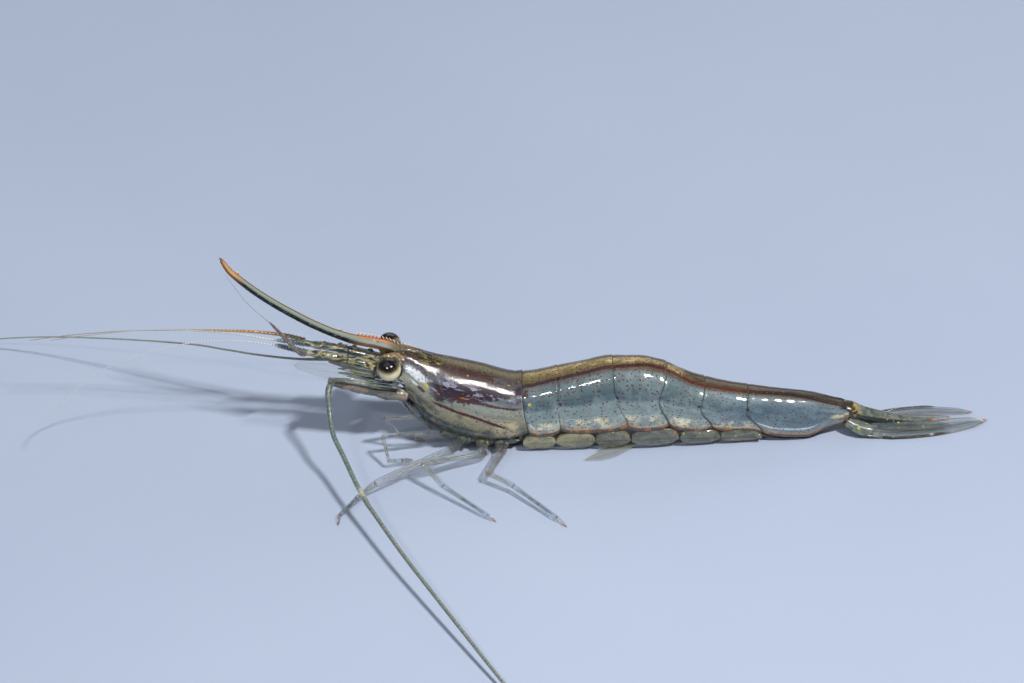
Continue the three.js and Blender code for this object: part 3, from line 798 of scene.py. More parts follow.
def carapace_finish():
    """The carapace: mottled dark shoulders, two red-brown lines and a greenish lower flank."""
    paint = ShellPaint(
        "Carapace shell", 6.5, 0.012, 0.6, (0.0, "6C664E"), (0.07, "5C5440"), (0.13, "423A34"),
        (0.25, "48484E"), (0.42, "687278"), (0.52, "929A94"), (0.7, "929282"), (0.85, "7E7E6E"),
        (0.96, "4E5652"), (1.0, "283438"))
    carapace_ground(paint)
    carapace_marks(paint)
    paint.dots(4.3, 0.27, RED_CELLS, 1.0, (0.0, 0.95), (0.22, 0.8), (0.45, 0.3), (0.7, 0.25),
               (1.0, 0.35))
    paint.dots(3.0, 0.19, ((0.0, ORANGE), (1.0, YELLOW)), 0.7, (0.0, 0.2), (0.45, 0.1),
               (0.6, 0.25), (1.0, 0.5))
    paint.dots(3.7, 0.2, ((0.0, OLIVE_YELLOW), (1.0, DARK_TEAL)), 0.85, (0.0, 0.35), (1.0, 0.25))
    paint.lay("242822", paint.step(paint.mark("margin"), 0.06, 0.021), 0.85)
    return paint.done()


# ---- Finishes of the head and limbs ----

def eye_finish():
    """A glossy eye: near-black where it looks up, cream below."""
    paint = Finish("Eye", Coat_Weight=1.0, Coat_Roughness=0.0, IOR=1.5, Specular_IOR_Level=0.4)
    gaze = paint.mark("gaze")
    grain = paint.math("SUBTRACT", paint.noise(paint.spot, 3.0, 4.0), 0.5)
    paint.colour = paint.ramp(
        paint.math("MULTIPLY_ADD", grain, 0.07, gaze), (0.0, "221612"), (0.12, "0E0A0C"),
        (0.24, "140E0E"), (0.30, "42362C"), (0.35, "8E8060"), (0.41, "D4CAA0"), (0.6, "E8E0B8"),
        (0.8, "C4B482"), (1.0, "967A56"))
    specks = paint.effect(SPECKS, {"Place": paint.spot, "Each mm": 6.0, "Size": 0.3,
                                   "Presence": 0.3})["Mask"]
    paint.lay("785C3C", specks, 0.35)
    facets = paint.node("ShaderNodeTexVoronoi", {"Vector": paint.spot, "Scale": 17.0})
    paint.plug(paint.shader["Normal"], paint.first("ShaderNodeBump", {
        "Distance": 0.002 * MM, "Strength": 0.5, "Height": facets.outputs["Distance"]}))
    paint.plug(paint.shader["Roughness"], paint.levels(gaze, (0.0, 0.1), (1.0, 0.3)))
    return paint.done()


def rostrum_finish():
    """The rostrum: black lower edge, grey-green sides, orange-brown upper edge and tip."""
    paint = Finish("Rostrum shell", Coat_Weight=0.15, Coat_Roughness=0.04, Specular_IOR_Level=0.1)
    height = paint.mark("height")
    along = paint.mark("along")
    paint.wet(4.0, 0.012, 0.3, 0.5)
    paint.colour = paint.ramp(
        height, (0.0, "030305"), (0.54, "030408"), (0.59, "142C36"), (0.64, "60746E"),
        (0.76, "8C9686"), (0.92, "8C8E74"), (0.97, "684224"), (1.0, "3C2216"))
    tip = paint.ramp(height, (0.0, "78421C"), (0.4, "BE7836"), (0.7, "CEA870"), (1.0, "A05424"))
    paint.lay(tip, paint.step(along, -19.3, -20.3), 0.9)
    base_side = paint.ramp(
        height, (0.0, "965C28"), (0.34, "BE803A"), (0.44, "6E7068"), (0.6, "A0A098"),
        (0.84, "968C7E"), (0.93, "BA702C"), (1.0, "A05422"))
    paint.lay(base_side, paint.step(along, -13.9, -12.7))
    paint.lay("5C5846", paint.step(along, -11.7, -11.0), 0.85)
    paint.lay("601610", paint.step(along, -20.55, -20.9), 0.9)
    grown = paint.step(along, -14.5, -12.8)
    paint.cells(5.0, 0.42, 0.3, (0.0, RUST), (1.0, SILVER_AND_HIGHLIGHT),
                strength=paint.levels(grown, (0.0, 0.3), (1.0, 0.9)))
    paint.lay("78847C", paint.cloud, 0.18)
    return paint.done()


def tooth_finish():
    """Small horny teeth, amber at the root and whitish at the point."""
    paint = Finish("Horny teeth", Coat_Weight=0.8, Coat_Roughness=0.05, Subsurface_Weight=0.2,
                   Subsurface_Scale=0.0002)
    paint.wet(9.0, 0.006, 0.2, 0.4)
    paint.colour = paint.ramp(paint.mark("tip"), (0.0, "AA5C24"), (0.35, "D6A064"), (0.7, "FAF4E6"))
    paint.lay("BE783C", paint.cloud, 0.2)
    return paint.done()


def limb_finish(name, joint, tip, clear, presence, roughest, *stops):
    """A glassy limb: clear between the joints, tinted at the joints and towards the tip."""
    paint = Finish(name, Coat_Weight=1.0, Coat_Roughness=0.03, Transmission_Weight=clear, IOR=1.18)
    paint.wet(3.0, 0.004, 0.03, roughest)
    share = paint.mark("share")
    paint.colour = paint.ramp(share, *stops)
    paint.lay("CED0CA", paint.cloud, 0.25)
    paint.lay(joint, paint.mark("joint"), 0.85)
    paint.lay(tip, paint.step(share, 0.9, 1.0), 0.85)
    cells = paint.cells(4.5, 0.34, presence, (0.0, ORANGE), (1.0, YELLOW), strength=0.6)
    return paint.done(paint.most(paint.mark("joint"), paint.step(share, 0.84, 0.97), cells,
                                 paint.levels(paint.cloud, (0.0, 0.34), (1.0, 0.52))))


def mottled_finish(name, ground, flesh, gold, clear, each_mm, contrast=1.0, coat=1.0):
    """Living tissue seen through a clear skin: dark gaps, flesh tones and gold flecks."""
    paint = Finish(name, Coat_Weight=coat, Coat_Roughness=0.05, Transmission_Weight=clear,
                   IOR=1.3, Specular_IOR_Level=0.3)
    paint.wet(3.4, 0.03, 0.2, 0.5)
    paint.skin = paint.vector("MULTIPLY", paint.spot, (0.42, 1.0, 1.0))
    patches = paint.ramp(
        paint.mottle(each_mm, 0.3, 0.7), (0.0, DARK_TEAL), (0.2, "283C3E"), (0.33, ground),
        (0.46, flesh), (0.58, gold), (0.68, ground), (0.84, "363C32"), (1.0, "1A2222"))
    paint.colour = paint.mix(contrast, ground, patches)
    paint.lay(ground, paint.cloud, 0.25)
    paint.cells(
        3.6, 0.34, 0.36, (0.0, gold), (0.4, ORANGE), (0.6, SILVER_AND_HIGHLIGHT), (1.0, DARK_TEAL), strength=0.9)
    paint.lay("966034", paint.mark("joint"), 0.45)
    return paint.done()


def feeler_finish(name, rings, *stops):
    """A ringed feeler, coloured along its length, darker at each ring's joint."""
    paint = Finish(name, Coat_Weight=0.7, Coat_Roughness=0.06)
    paint.wet(6.0, 0.004, 0.18, 0.36)
    paint.colour = paint.ramp(paint.mark("share"), *stops)
    paint.lay("CECEBE", paint.cloud, 0.2)
    dark = paint.mix(1.0, paint.colour, "6E6054", "MULTIPLY")
    paint.lay(dark, paint.step(paint.mark("ring"), 0.6, 0.1), rings)
    return paint.done()


def fin_finish(name, clear, edge, body, rib, rim, tip, presence=0.22, root=None, coat=1.0):
    """A thin fin or scale: a clear web with fine rays, a tinted midrib and a tinted rim."""
    paint = Finish(name, Coat_Weight=coat, Coat_Roughness=0.05, Specular_IOR_Level=0.3)
    paint.wet(3.6, 0.012, 0.14, 0.34)
    across = paint.math("ABSOLUTE", paint.mark("rim"))
    share = paint.mark("share")
    rib_mask = paint.step(across, 0.16, 0.04)
    rim_mask = paint.step(across, 0.84, 0.96)
    end_mask = paint.step(share, 0.93, 1.0)
    rays = paint.node("ShaderNodeTexWave", {
        "Vector": paint.joined(paint.times(paint.mark("rim"), 1.1), paint.times(share, 0.25)),
        "Scale": 1.6, "Distortion": 1.2, "Detail": 3.0}, bands_direction="X").outputs["Fac"]
    patches = paint.mottle(1.6, 0.45, 0.6)
    paint.colour = paint.mix(paint.times(paint.cloud, 0.3), body, "B0B4A6")
    for mask, strength, colour in ((patches, 0.5, rib), (rays, 0.3, rib), (rib_mask, 0.7, rib),
                                   (rim_mask, 0.95, rim), (end_mask, 0.9, tip)):
        paint.lay(colour, mask, strength)
    if root:
        broken = paint.math("MULTIPLY_ADD", patches, -0.06, share)
        grain = paint.levels(paint.noise(paint.spot, 5.0, 4.0), (0.35, 0.35), (0.6, 1.0))
        paint.lay(root, paint.step(broken, 0.17, 0.1), grain)
        paint.lay("181816", paint.step(broken, 0.098, 0.08), 0.9)
    cells = paint.cells(
        3.0, 0.34, presence, (0.0, YELLOW), (0.6, "BEAA46"), (0.8, ORANGE), (1.0, DARK_TEAL),
        strength=0.85)
    web = paint.levels(rays, (0.0, clear), (1.0, min(clear + 0.14, 1.0)))
    firm = paint.most(paint.times(rib_mask, 0.8), rim_mask, end_mask)
    return paint.done(paint.most(paint.times(firm, edge), web, paint.times(cells, edge),
                                 paint.times(paint.step(share, 0.2, 0.0), edge)))


def flesh_finish():
    """The soft underside between the legs and below the plates."""
    paint = Finish("Soft underside", Coat_Weight=1.0, Coat_Roughness=0.04, Subsurface_Weight=0.2,
                   Subsurface_Scale=0.0003)
    paint.wet(3.0, 0.05, 0.3, 0.5)
    paint.colour = paint.ramp(
        paint.mottle(1.5, 0.3, 0.7), (0.0, DARK_TEAL), (0.3, "545C54"), (0.5, "968E74"),
        (0.62, "C8B270"), (0.75, "6E6A58"), (1.0, "28302C"))
    paint.lay("AAA082", paint.cloud, 0.3)
    paint.cells(3.2, 0.36, 0.5, (0.0, ORANGE), (0.5, YELLOW), (0.75, SILVER_AND_HIGHLIGHT), (1.0, DARK_TEAL),
                strength=0.9)
    return paint.done()


def bristle_finish():
    """Fine pale bristles, darker at the root."""
    paint = Finish("Bristles", Subsurface_Weight=0.1, Subsurface_Scale=0.0001)
    paint.wet(12.0, 0.002, 0.3, 0.5)
    paint.colour = paint.ramp(paint.mark("tip"), (0.0, "766852"), (1.0, "BAB6A6"))
    paint.lay("966846", paint.cloud, 0.3)
    return paint.done()


# ---- Shell plates ----

ACROSS = np.concatenate([-(np.linspace(1, 0, 61) ** 1.08), np.linspace(0, 1, 61)[1:] ** 1.08])
BELLY_STEPS = 14
PLATE_STEP = 0.09       # between the rings of a somite
CARAPACE_RINGS = 78
belly_hollow = smooth([(-11, 0.4), (4, 0.4), (9.5, 0.15), (15, 0.1)])


def edge_at(boundary, across):
    """Where a boundary between plates lies along the body, at a share across."""
    return EDGES[boundary](section(across)[1])


def hind_on_top(boundary, across):
    """0 where the plate in front covers the one behind, 1 where it is the other way round."""
    return ease(abs(across), 0.5, 0.7) if boundary == 1 else 0.0


def plate_rows(length_steps):
    """Steps along a plate: beneath its neighbour, over its length, and round its lip."""
    hidden = [("under", share) for share in (1.0, 0.5, 0.15)]
    middle = [("over", share) for share in np.linspace(0, 1, length_steps)]
    lip = [("lip", 0.35), ("lip", 0.75), ("lip", 1.0)]
    return hidden + middle + lip


def somite_relief(number, x, across, share):
    """Swellings and dints of one somite, in millimetres off the smooth outline."""
    half = abs(across)
    lift = 0.012 * bump(half, 0.962, 0.02)                      # rolled lower rim
    lift -= 0.01 * bump(half, 0.905, 0.03)                      # furrow above it
    lift += 0.035 * bump(half, 0.78, 0.1) * bump(share, 0.45, 0.4)   # swollen side plate
    lift -= 0.045 * bump(half, 0.52, 0.035) * (bump(share, 0.0, 0.05) + bump(share, 1.0, 0.05))
    lift += 0.02 * bump(half, 0.0, 0.1) * math.sin(math.pi * min(max(share, 0), 1))
    lift -= 0.012 * bump(half, 0.66, 0.03)                      # line between back and side plate
    if number == 6:
        lift -= 0.03 * bump(half, 0.36, 0.05) * ease(share, 0.5, 0.9)
        lift += 0.03 * bump(half, 0.2, 0.06) * ease(share, 0.3, 0.9)
        lift -= 0.16 * ease(share, 0.88, 1.0) ** 2
    return lift + 0.006 * math.sin(3.1 * x + 9 * across) * math.sin(5.3 * x - 4 * across)


def plate_place(number, step, across):
    """One place on a somite, with its share of the length and its distance to a free edge."""
    front, hind = edge_at(number - 1, across), edge_at(number, across)
    front_top = hind_on_top(number - 1, across)
    hind_top = hind_on_top(number, across)
    kind, amount = step
    length = hind - front
    hidden = OVERLAP + (0.015 - OVERLAP) * front_top
    if kind == "under":
        x, share, margin = front - hidden * amount, 0.0, 1.0 - front_top
        lift = -0.05 - 0.03 * amount
        lift += (0.075 - 0.07 * amount) * front_top
    elif kind == "over":
        share = amount
        x = front + length * share
        before, after = length * share, length * (1 - share)
        sink = -0.05 * (1 - ease(before, -0.03, 0.16)) * (1 - front_top)
        raised = 0.02 * (1 - ease(before, 0.0, 0.4)) * front_top
        flare = 0.012 * (1 - ease(after, 0.0, 0.5)) * (1 - hind_top)
        flare -= 0.05 * (1 - ease(after, -0.03, 0.16)) * hind_top
        lift = sink + raised + flare
        margin = after * (1 - hind_top) + before * front_top + 0.4 * hind_top
    else:
        share, margin = 1.0, 0.0
        beyond = 0.012 * math.sin(amount * math.pi / 2) * (1 - hind_top) + OVERLAP * hind_top
        x = hind + beyond * amount ** 0.5
        lift = 0.012 - (1 - math.cos(amount * math.pi / 2)) * 0.08
        lift = lift * (1 - hind_top) - 0.075 * hind_top
    lift += somite_relief(number, x, across, share)
    return shell_place(x, across, share, lift), share, margin


def give_plate(name, rings, finish, node):
    """Makes a closed plate from rings of places over the back, brought home below the belly."""
    below = [i / BELLY_STEPS for i in range(1, BELLY_STEPS)]
    closed, marks = [], {"along": [], "across": [], "share": [], "margin": []}
    for ring in rings:
        places, shares, margins = zip(*ring)
        left, right = np.array(places[0]), np.array(places[-1])
        home = [right + (left - right) * t for t in below]
        for t, spot in zip(below, home):
            spot[2] += belly_hollow(right[0]) * math.sin(math.pi * t) ** 0.6
        closed.append([*places, *home])
        marks["along"].append([p[0] for p in closed[-1]])
        marks["across"].append([*ACROSS, *[1.0] * len(below)])
        marks["share"].append([*shares, *[shares[-1]] * len(below)])
        marks["margin"].append([*margins, *[0.5] * len(below)])
    body = Assembly()
    body.add(closed, marks)
    body.give(name, "shell", finish, node)


def somite(number, finish):
    """One somite of the abdomen as a closed plate with a rounded hind lip."""
    length = edge_at(number, 0.3) - edge_at(number - 1, 0.3)
    rings = [[plate_place(number, step, across) for across in ACROSS]
             for step in plate_rows(int(length / PLATE_STEP))]
    give_plate(f"somite_{number}", rings, finish, f"abdomen_{number}")


# The carapace's front edge from the lower corner to the ridge: a rounded cheek, a spine below the
# eye, and the notch that the eyestalk leaves through.
carapace_front = smooth(
    [(0.0, -9.9), (0.1, -10.35), (0.28, -10.62), (0.45, -10.7), (0.53, -11.0), (0.6, -10.82),
     (0.74, -10.76), (0.88, -10.8), (0.95, -10.95), (1.0, -11.15)])


def carapace_relief(x, across):
    """Keel, grooves and swellings of the carapace, in millimetres."""
    half = abs(across)
    keel = ease(x, -8.2, -10.9)
    lift = 0.17 * keel * bump(half, 0.0, 0.03) - 0.05 * keel * bump(half, 0.1, 0.05)
    groove = -9.0 + 1.5 * half
    lift -= 0.05 * bump(x, groove, 0.16) * ease(half, 0.16, 0.3) * (1 - ease(half, 0.62, 0.74))
    lift += 0.05 * bump(x, groove + 0.9, 0.7) * bump(half, 0.4, 0.14)
    gill_line = 0.62 + 0.02 * (x + 7)
    lift -= 0.022 * bump(half, gill_line, 0.02) * ease(x, -9.6, -8.8)
    lift += 0.05 * bump(half, 0.78, 0.1) * bump(x, -6.8, 2.2)
    lift += 0.035 * bump(half, 0.966, 0.018)
    lift -= 0.03 * bump(half, 0.925, 0.02)
    lift += 0.05 * bump(half, 0.41, 0.03) * ease(x, -9.6, -10.7)
    lift -= 0.04 * bump(half, 0.3, 0.045) * ease(x, -9.4, -10.5)
    return lift + 0.006 * math.sin(2.7 * x + 8 * across) * math.sin(4.1 * x - 5 * across)


FACE_MIDDLE = np.array([-10.2, 0.0, 4.6])


def carapace_place(kind, amount, across):
    """One place on the carapace, with its share of the length and its distance to a free edge."""
    rise = section(across)[1]
    front, hind = carapace_front(rise), EDGES[0](rise)
    if kind == "face":
        x = front + 0.02 + 0.5 * amount
        spot = np.array(shell_place(x, across, 0.0, -0.06 - 0.25 * amount))
        return spot + (FACE_MIDDLE - spot) * 0.75 * amount ** 1.6, 0.0, 0.3
    if kind == "lip":
        x = hind + 0.02 * math.sin(amount * math.pi / 2)
        lift = carapace_relief(hind, across) + 0.03
        return shell_place(x, across, 1.0, lift - (1 - math.cos(amount * 1.57)) * 0.14), 1.0, 0.0
    share = amount ** 1.15
    x = front + (hind - front) * share
    edge = 0.03 * (1 - ease(hind - x, 0.0, 0.35)) - 0.02 * bump(hind - x, 0.42, 0.1)
    rim = 0.03 * (1 - ease(x - front, 0.0, 0.12)) - 0.04 * (1 - ease(x - front, 0, 0.04))
    spot = shell_place(x, across, share, carapace_relief(x, across) + edge + rim)
    return spot, share, min(x - front, hind - x)


def carapace(finish):
    """The head shield as one closed plate, hollow in front where the eyes and feelers leave."""
    rows = [("face", amount) for amount in (1.0, 0.6, 0.25, 0.06)] + plate_rows(CARAPACE_RINGS)[3:]
    rings = [[carapace_place(*row, across) for across in ACROSS] for row in rows]
    give_plate("carapace_shell", rings, finish, "carapace")


# ---- Chest ----

chest_width = smooth([(-9.5, 0.25), (-8, 0.6), (-6, 0.85), (-4.6, 0.85), (-4, 0.7), (-3.6, 0.2)])
chest_bottom = smooth(
    [(-9.5, 1.9), (-8, 0.85), (-6.5, 0.3), (-5.3, 0.0), (-4.4, 0.0), (-3.9, 0.18), (-3.6, 0.6)])
LEG_ROOTS_X = (-9.05, -8.35, -7.35, -6.3, -5.2)
CHEST_AROUND = 28


def chest(finish):
    """The underside of the chest, swollen at each pair of leg sockets."""
    rings = []
    for x in np.linspace(-9.5, -3.6, 90):
        swelling = sum(bump(x, root, 0.3) for root in LEG_ROOTS_X)
        width = chest_width(x) * (1.0 + 0.2 * swelling + 0.04 * math.sin(11 * x))
        bottom = chest_bottom(x) + 0.05 * (1 - min(swelling, 1)) * ease(x, -6.0, -7.5)
        top = lower_edge(x) + 0.3
        ring = []
        for angle in turns(CHEST_AROUND):
            round_off = abs(math.cos(angle)) ** 0.7 * math.copysign(1, math.cos(angle))
            upright = abs(math.sin(angle)) ** 0.8 * math.copysign(1, math.sin(angle))
            furrow = 0.06 * bump(math.cos(angle), 0.0, 0.15) if upright < 0 else 0.0
            z = (top + bottom) / 2 + upright * (top - bottom) / 2 + furrow
            ring.append([x, round_off * width, max(z, FLOOR_SKIN)])
        rings.append(ring)
    body = Assembly()
    body.add(rings, {})
    body.give("chest_underside", "soft_parts", finish, "chest")


def belly_core(finish):
    """The soft mass of the belly between the side plates, seen in the gaps over the lobes."""
    line = np.array([(x, tail_swing(x), lower_edge(x) + 0.12, half_width(x) * 0.74)
                     for x in np.linspace(-4.1, 10.6, 120)])
    ends = np.sqrt(np.clip(1 - np.linspace(-1, 1, 120) ** 10, 0.02, 1))
    rings = oval_rings(line, lambda i: line[i, 3] * ends[i], lambda i: 0.3 * ends[i], 24)
    body = Assembly()
    body.add(rings, {})
    body.give("belly", "soft_parts", finish)


# ---- Rostrum ----

nose_top = smooth(
    [(-20.95, 12.8), (-20.2, 11.95), (-19, 10.8), (-17.8, 9.85), (-16.5, 8.97), (-15.4, 8.3),
     (-14.3, 7.76), (-13.4, 7.46), (-12.3, 7.25), (-11.3, 6.93), (-10.7, 6.5), (-10.2, 6.1)])
nose_depth = smooth(
    [(-20.95, 0.08), (-20.65, 0.28), (-20, 0.42), (-19, 0.47), (-16.5, 0.53), (-14.5, 0.56),
     (-13.2, 0.68), (-12, 0.74), (-11, 0.7), (-10.2, 0.5)])
nose_width = smooth(
    [(-20.95, 0.03), (-20, 0.16), (-15, 0.2), (-12.5, 0.24), (-11, 0.3), (-10.2, 0.22)])
NOSE_AROUND = 28


def nose_slope(x):
    """The slope of the rostrum's upper edge."""
    return (nose_top(x + 0.05) - nose_top(x - 0.05)) / 0.1


def nose_section(x, angle):
    """A place on the rostrum: thin edges above and below, a ridge along each side."""
    tilt = math.atan(nose_slope(x))
    depth, width = nose_depth(x), nose_width(x)
    upright, sideways = math.sin(angle), math.cos(angle)
    body = abs(sideways) ** 1.25
    ridge_swell = 0.25 * bump(upright, 0.05, 0.22)
    y = math.copysign(width * (0.72 * body + ridge_swell), sideways)
    off = (upright - 1) * depth / 2
    return [x - math.sin(tilt) * off, y, nose_top(x) + math.cos(tilt) * off]


def rostrum(finish, tooth):
    """The long upturned rostrum with its ridge, and its teeth above and below."""
    places = NOSE_TIP + (NOSE_ROOT - NOSE_TIP) * np.linspace(0, 1, 190) ** 1.05
    angles = turns(NOSE_AROUND)
    body = Assembly()
    body.add([[nose_section(x, angle) for angle in angles] for x in places],
             {"height": [[(math.sin(angle) + 1) / 2 for angle in angles]] * len(places),
              "along": [[x] * NOSE_AROUND for x in places]})
    body.give("rostrum_blade", "rostrum", finish, "rostrum")
    teeth = []
    for x in np.concatenate([np.linspace(-13.2, -9.9, 17), [-14.2, -19.9]]):
        at = nose_top(x) if x < -11 else max(nose_top(min(x, NOSE_ROOT)), ridge(x) + 0.12)
        slope = nose_slope(x)
        teeth.append(((x, 0.0, at + 0.04), (-0.62, 0.0, 0.8 - slope * 0.4), 0.24))
    for x in np.linspace(-19.4, -12.6, 30):
        tilt = math.atan(nose_slope(x))
        depth = nose_depth(x) - 0.03
        spot = (x + math.sin(tilt) * depth, 0.0, nose_top(x) - math.cos(tilt) * depth)
        teeth.append((spot, (-0.8, 0.0, -0.5 - math.sin(tilt)), 0.14))
    planted("rostrum_teeth", teeth, tooth, "rostrum", width=0.5, curl=0.2, sides=8, wander=0.05)


# ---- Small spikes, teeth and bristles ----

def stored(wiring, name, kind="FLOAT"):
    """A value kept on the points."""
    return wiring.first("GeometryNodeInputNamedAttribute", {"Name": name}, data_type=kind)


def store(wiring, geometry, name, value):
    """The geometry with a value kept on its points."""
    return wiring.first("GeometryNodeStoreNamedAttribute", {
        "Geometry": geometry, "Name": name, "Value": value}, domain="POINT")


def finish_tree(wiring, given, out, geometry):
    """Ends a tree with real geometry in its finish."""
    real = wiring.first("GeometryNodeRealizeInstances", {"Geometry": geometry})
    wiring.plug(out["Geometry"], wiring.first("GeometryNodeSetMaterial", {
        "Geometry": real, "Material": given["Finish"]}))
    return wiring.tree


def spike_tree():
    """Plants a slim bent spike on every point, along the point's own aim and length."""
    wiring, given, out = new_tree("Geometry", "Planted spikes", {
        "Geometry": "Geometry", "Width": 0.1, "Curl": 0.2, "Sides": 4, "Wander": 0.1,
        "Seed": SEED, "Finish": "Material"}, {"Geometry": "Geometry"})
    cone = wiring.node("GeometryNodeMeshCone", {
        "Vertices": given["Sides"], "Side Segments": 4, "Radius Top": 0.03, "Radius Bottom": 0.5,
        "Depth": 1.0}, fill_type="TRIANGLE_FAN").outputs["Mesh"]
    height = wiring.node("ShaderNodeSeparateXYZ",
                         {0: wiring.first("GeometryNodeInputPosition")}).outputs[2]
    bend = wiring.joined(wiring.times(wiring.times(height, height), given["Curl"]), 0.0)
    bent = wiring.first("GeometryNodeSetPosition", {"Geometry": cone, "Offset": bend})
    points = wiring.first("GeometryNodeMeshToPoints", {"Mesh": given["Geometry"]})
    length = stored(wiring, "length")
    chance = wiring.first("FunctionNodeRandomValue", {
        "Min": (-1.0, -1.0, -1.0), "Seed": given["Seed"]}, data_type="FLOAT_VECTOR")
    stray = wiring.first(
        "ShaderNodeVectorMath", {0: chance, "Scale": given["Wander"]}, operation="SCALE")
    aimed = wiring.vector("ADD", stored(wiring, "aim", "FLOAT_VECTOR"), stray)
    turn = wiring.first("FunctionNodeAlignRotationToVector", {"Vector": aimed}, axis="Z")
    width = wiring.times(length, given["Width"])
    placed = wiring.first("GeometryNodeInstanceOnPoints", {
        "Points": points, "Instance": store(wiring, bent, "tip", height), "Rotation": turn,
        "Scale": wiring.joined(width, width, length)})
    return finish_tree(wiring, given, out, placed)


def feeler_tree():
    """Sweeps a ringed feeler along a line whose points carry their own thickness."""
    wiring, given, out = new_tree("Geometry", "Ringed feeler", {
        "Geometry": "Geometry", "Ring length": 0.0002, "Ring depth": 0.2, "Sides": 8,
        "Finish": "Material"}, {"Geometry": "Geometry"})
    line = wiring.first("GeometryNodeMeshToCurve", {"Mesh": given["Geometry"]})
    fine = wiring.first("GeometryNodeResampleCurve", {
        "Curve": line, "Length": wiring.times(given["Ring length"], 0.25)}, mode="LENGTH")
    along = wiring.node("GeometryNodeSplineParameter").outputs
    phase = wiring.math("FRACT", wiring.math("DIVIDE", along["Length"], given["Ring length"]))
    swell = wiring.math("SINE", wiring.times(phase, math.pi))
    kept = store(wiring, store(wiring, fine, "share", along["Factor"]), "ring", swell)
    shape = wiring.math(
        "MULTIPLY_ADD", wiring.math("SUBTRACT", swell, 1.0), given["Ring depth"], 1.0)
    profile = wiring.first("GeometryNodeCurvePrimitiveCircle", {
        "Resolution": given["Sides"], "Radius": 1.0})
    tube = wiring.first("GeometryNodeCurveToMesh", {
        "Curve": kept, "Profile Curve": profile,
        "Scale": wiring.times(stored(wiring, "thick"), shape), "Fill Caps": True})
    return finish_tree(wiring, given, out, tube)


SPIKES, FEELERS = spike_tree(), feeler_tree()


def run_tree(piece, tree, values):
    """Runs geometry nodes on a piece with the given inputs and keeps the plain mesh."""
    modifier = piece.modifiers.new(tree.name, "NODES")
    modifier.node_group = tree
    for item in tree.interface.items_tree:
        if item.in_out == "INPUT" and item.name in values:
            modifier[item.identifier] = values[item.name]
    settle(piece)


def planted(name, roots, finish, slot, width=0.03, curl=0.15, sides=4, wander=0.12):
    """One piece of spikes or bristles from (place, aim, length) roots, with its own UV map."""
    places, aims, lengths = zip(*roots)
    piece = object_from(name, places, marks={"aim": aims, "length": np.array(lengths) * MM})
    run_tree(piece, SPIKES, {"Width": width, "Curl": curl, "Sides": sides, "Wander": wander,
                             "Seed": SEED, "Finish": finish})
    lay_out_spikes(piece, metres(places))
    hand_over(piece, slot, finish)


SPIKE_PATCH = 0.003


def lay_out_spikes(piece, places):
    """Gives each spike a small patch of its own at its root's place on a flat layout."""
    mesh = piece.data
    each = len(mesh.vertices) // len(places)
    low, span = places.min(axis=0), np.ptp(places, axis=0) + 1e-9
    order = np.argsort(-span)[:2]
    roots = 0.01 + 0.97 * ((places - low) / span)[:, order]
    corner = np.zeros(len(mesh.loops), dtype=int)
    mesh.loops.foreach_get("vertex_index", corner)
    own = corner % each
    inside = np.stack([(own % 5) / 5, (own // 5) / (each // 5 + 1)], axis=1) * SPIKE_PATCH
    layer = mesh.uv_layers.new(name="OFBake")
    layer.data.foreach_set("uv", (roots[corner // each] + inside).astype(np.float32).ravel())


SOLID_FEELER = 0.21     # half thickness of the solid feelers, which lie that high on the floor


def ringed(name, places, finish, node, ring, depth):
    """A ringed feeler through [x, y, z, thickness] places, let down on the floor where it lies."""
    line = flowing(places, 0.15)
    low = 1 - np.clip(line[:, 2] - SOLID_FEELER, 0, 1)
    line[:, 2] -= np.clip(SOLID_FEELER - line[:, 3], 0, 1) * low
    piece = object_from(
        name, line[:, :3], marks={"thick": line[:, 3] * MM},
        edges=[(i, i + 1) for i in range(len(line) - 1)])
    run_tree(piece, FEELERS, {"Ring length": ring * MM, "Ring depth": depth, "Finish": finish})
    turn_outwards(piece)
    hand_over(piece, "feelers", finish, node)


# ---- Tubes and blades ----

def add_tube(body, line, share=(0.0, 1.0), waist=0.0, flat=1.0, around=14, joint_reach=0.1,
             caps=0.05, lumps=0.0):
    """A tube with rounded ends; its waist is slimmer and its ends carry the joint's tint."""
    travel = travel_along(line)
    t = travel / travel[-1]
    cap = np.sqrt(np.clip(1 - (1 - np.clip(np.minimum(t, 1 - t) / caps, 0, 1)) ** 2, 0.02, 1))
    size = line[:, 3] * (1 - waist * np.sin(np.pi * t)) * cap
    size *= 1 + lumps * (np.sin(travel * 7.3) + 0.7 * np.sin(travel * 16.0 + 1.0)) / 2
    near_end = np.minimum(travel, travel[-1] - travel)
    joint = np.clip(1 - near_end / joint_reach, 0, 1)
    rings = oval_rings(line, lambda i: size[i], lambda i: size[i] * flat, around)
    body.add(rings, {"share": [[share[0] + (share[1] - share[0]) * v] * around for v in t],
                     "joint": [[v] * around for v in joint]})


BEYOND_JOINT = 0.07     # how far a segment runs past the joints at its ends


def segment(start, end, thick_start, thick_end, bow=0.0, steps=26):
    """A line from just before one joint to just past the next, a little bowed upwards."""
    t = (1 - np.cos(np.pi * np.linspace(0, 1, steps))) / 2
    start, end = np.array(start, dtype=float), np.array(end, dtype=float)
    reach = (end - start) / np.linalg.norm(end - start) * BEYOND_JOINT
    start, end = start - reach, end + reach
    at = start + (end - start) * t[:, None]
    at[:, 2] += bow * np.sin(np.pi * t)
    size = thick_start + (thick_end - thick_start) * t
    return np.column_stack([at, size])


def blade_outline(line, round_from):
    """Shares of a blade's length, how far its end is rounded at each, and its half widths."""
    travel = travel_along(line)
    t = travel / travel[-1]
    over = np.clip((t - round_from) / (1 - round_from), 0, 1)
    return t, over, line[:, 3] * np.sqrt(np.clip(1 - over ** 2, 0.004, 1))


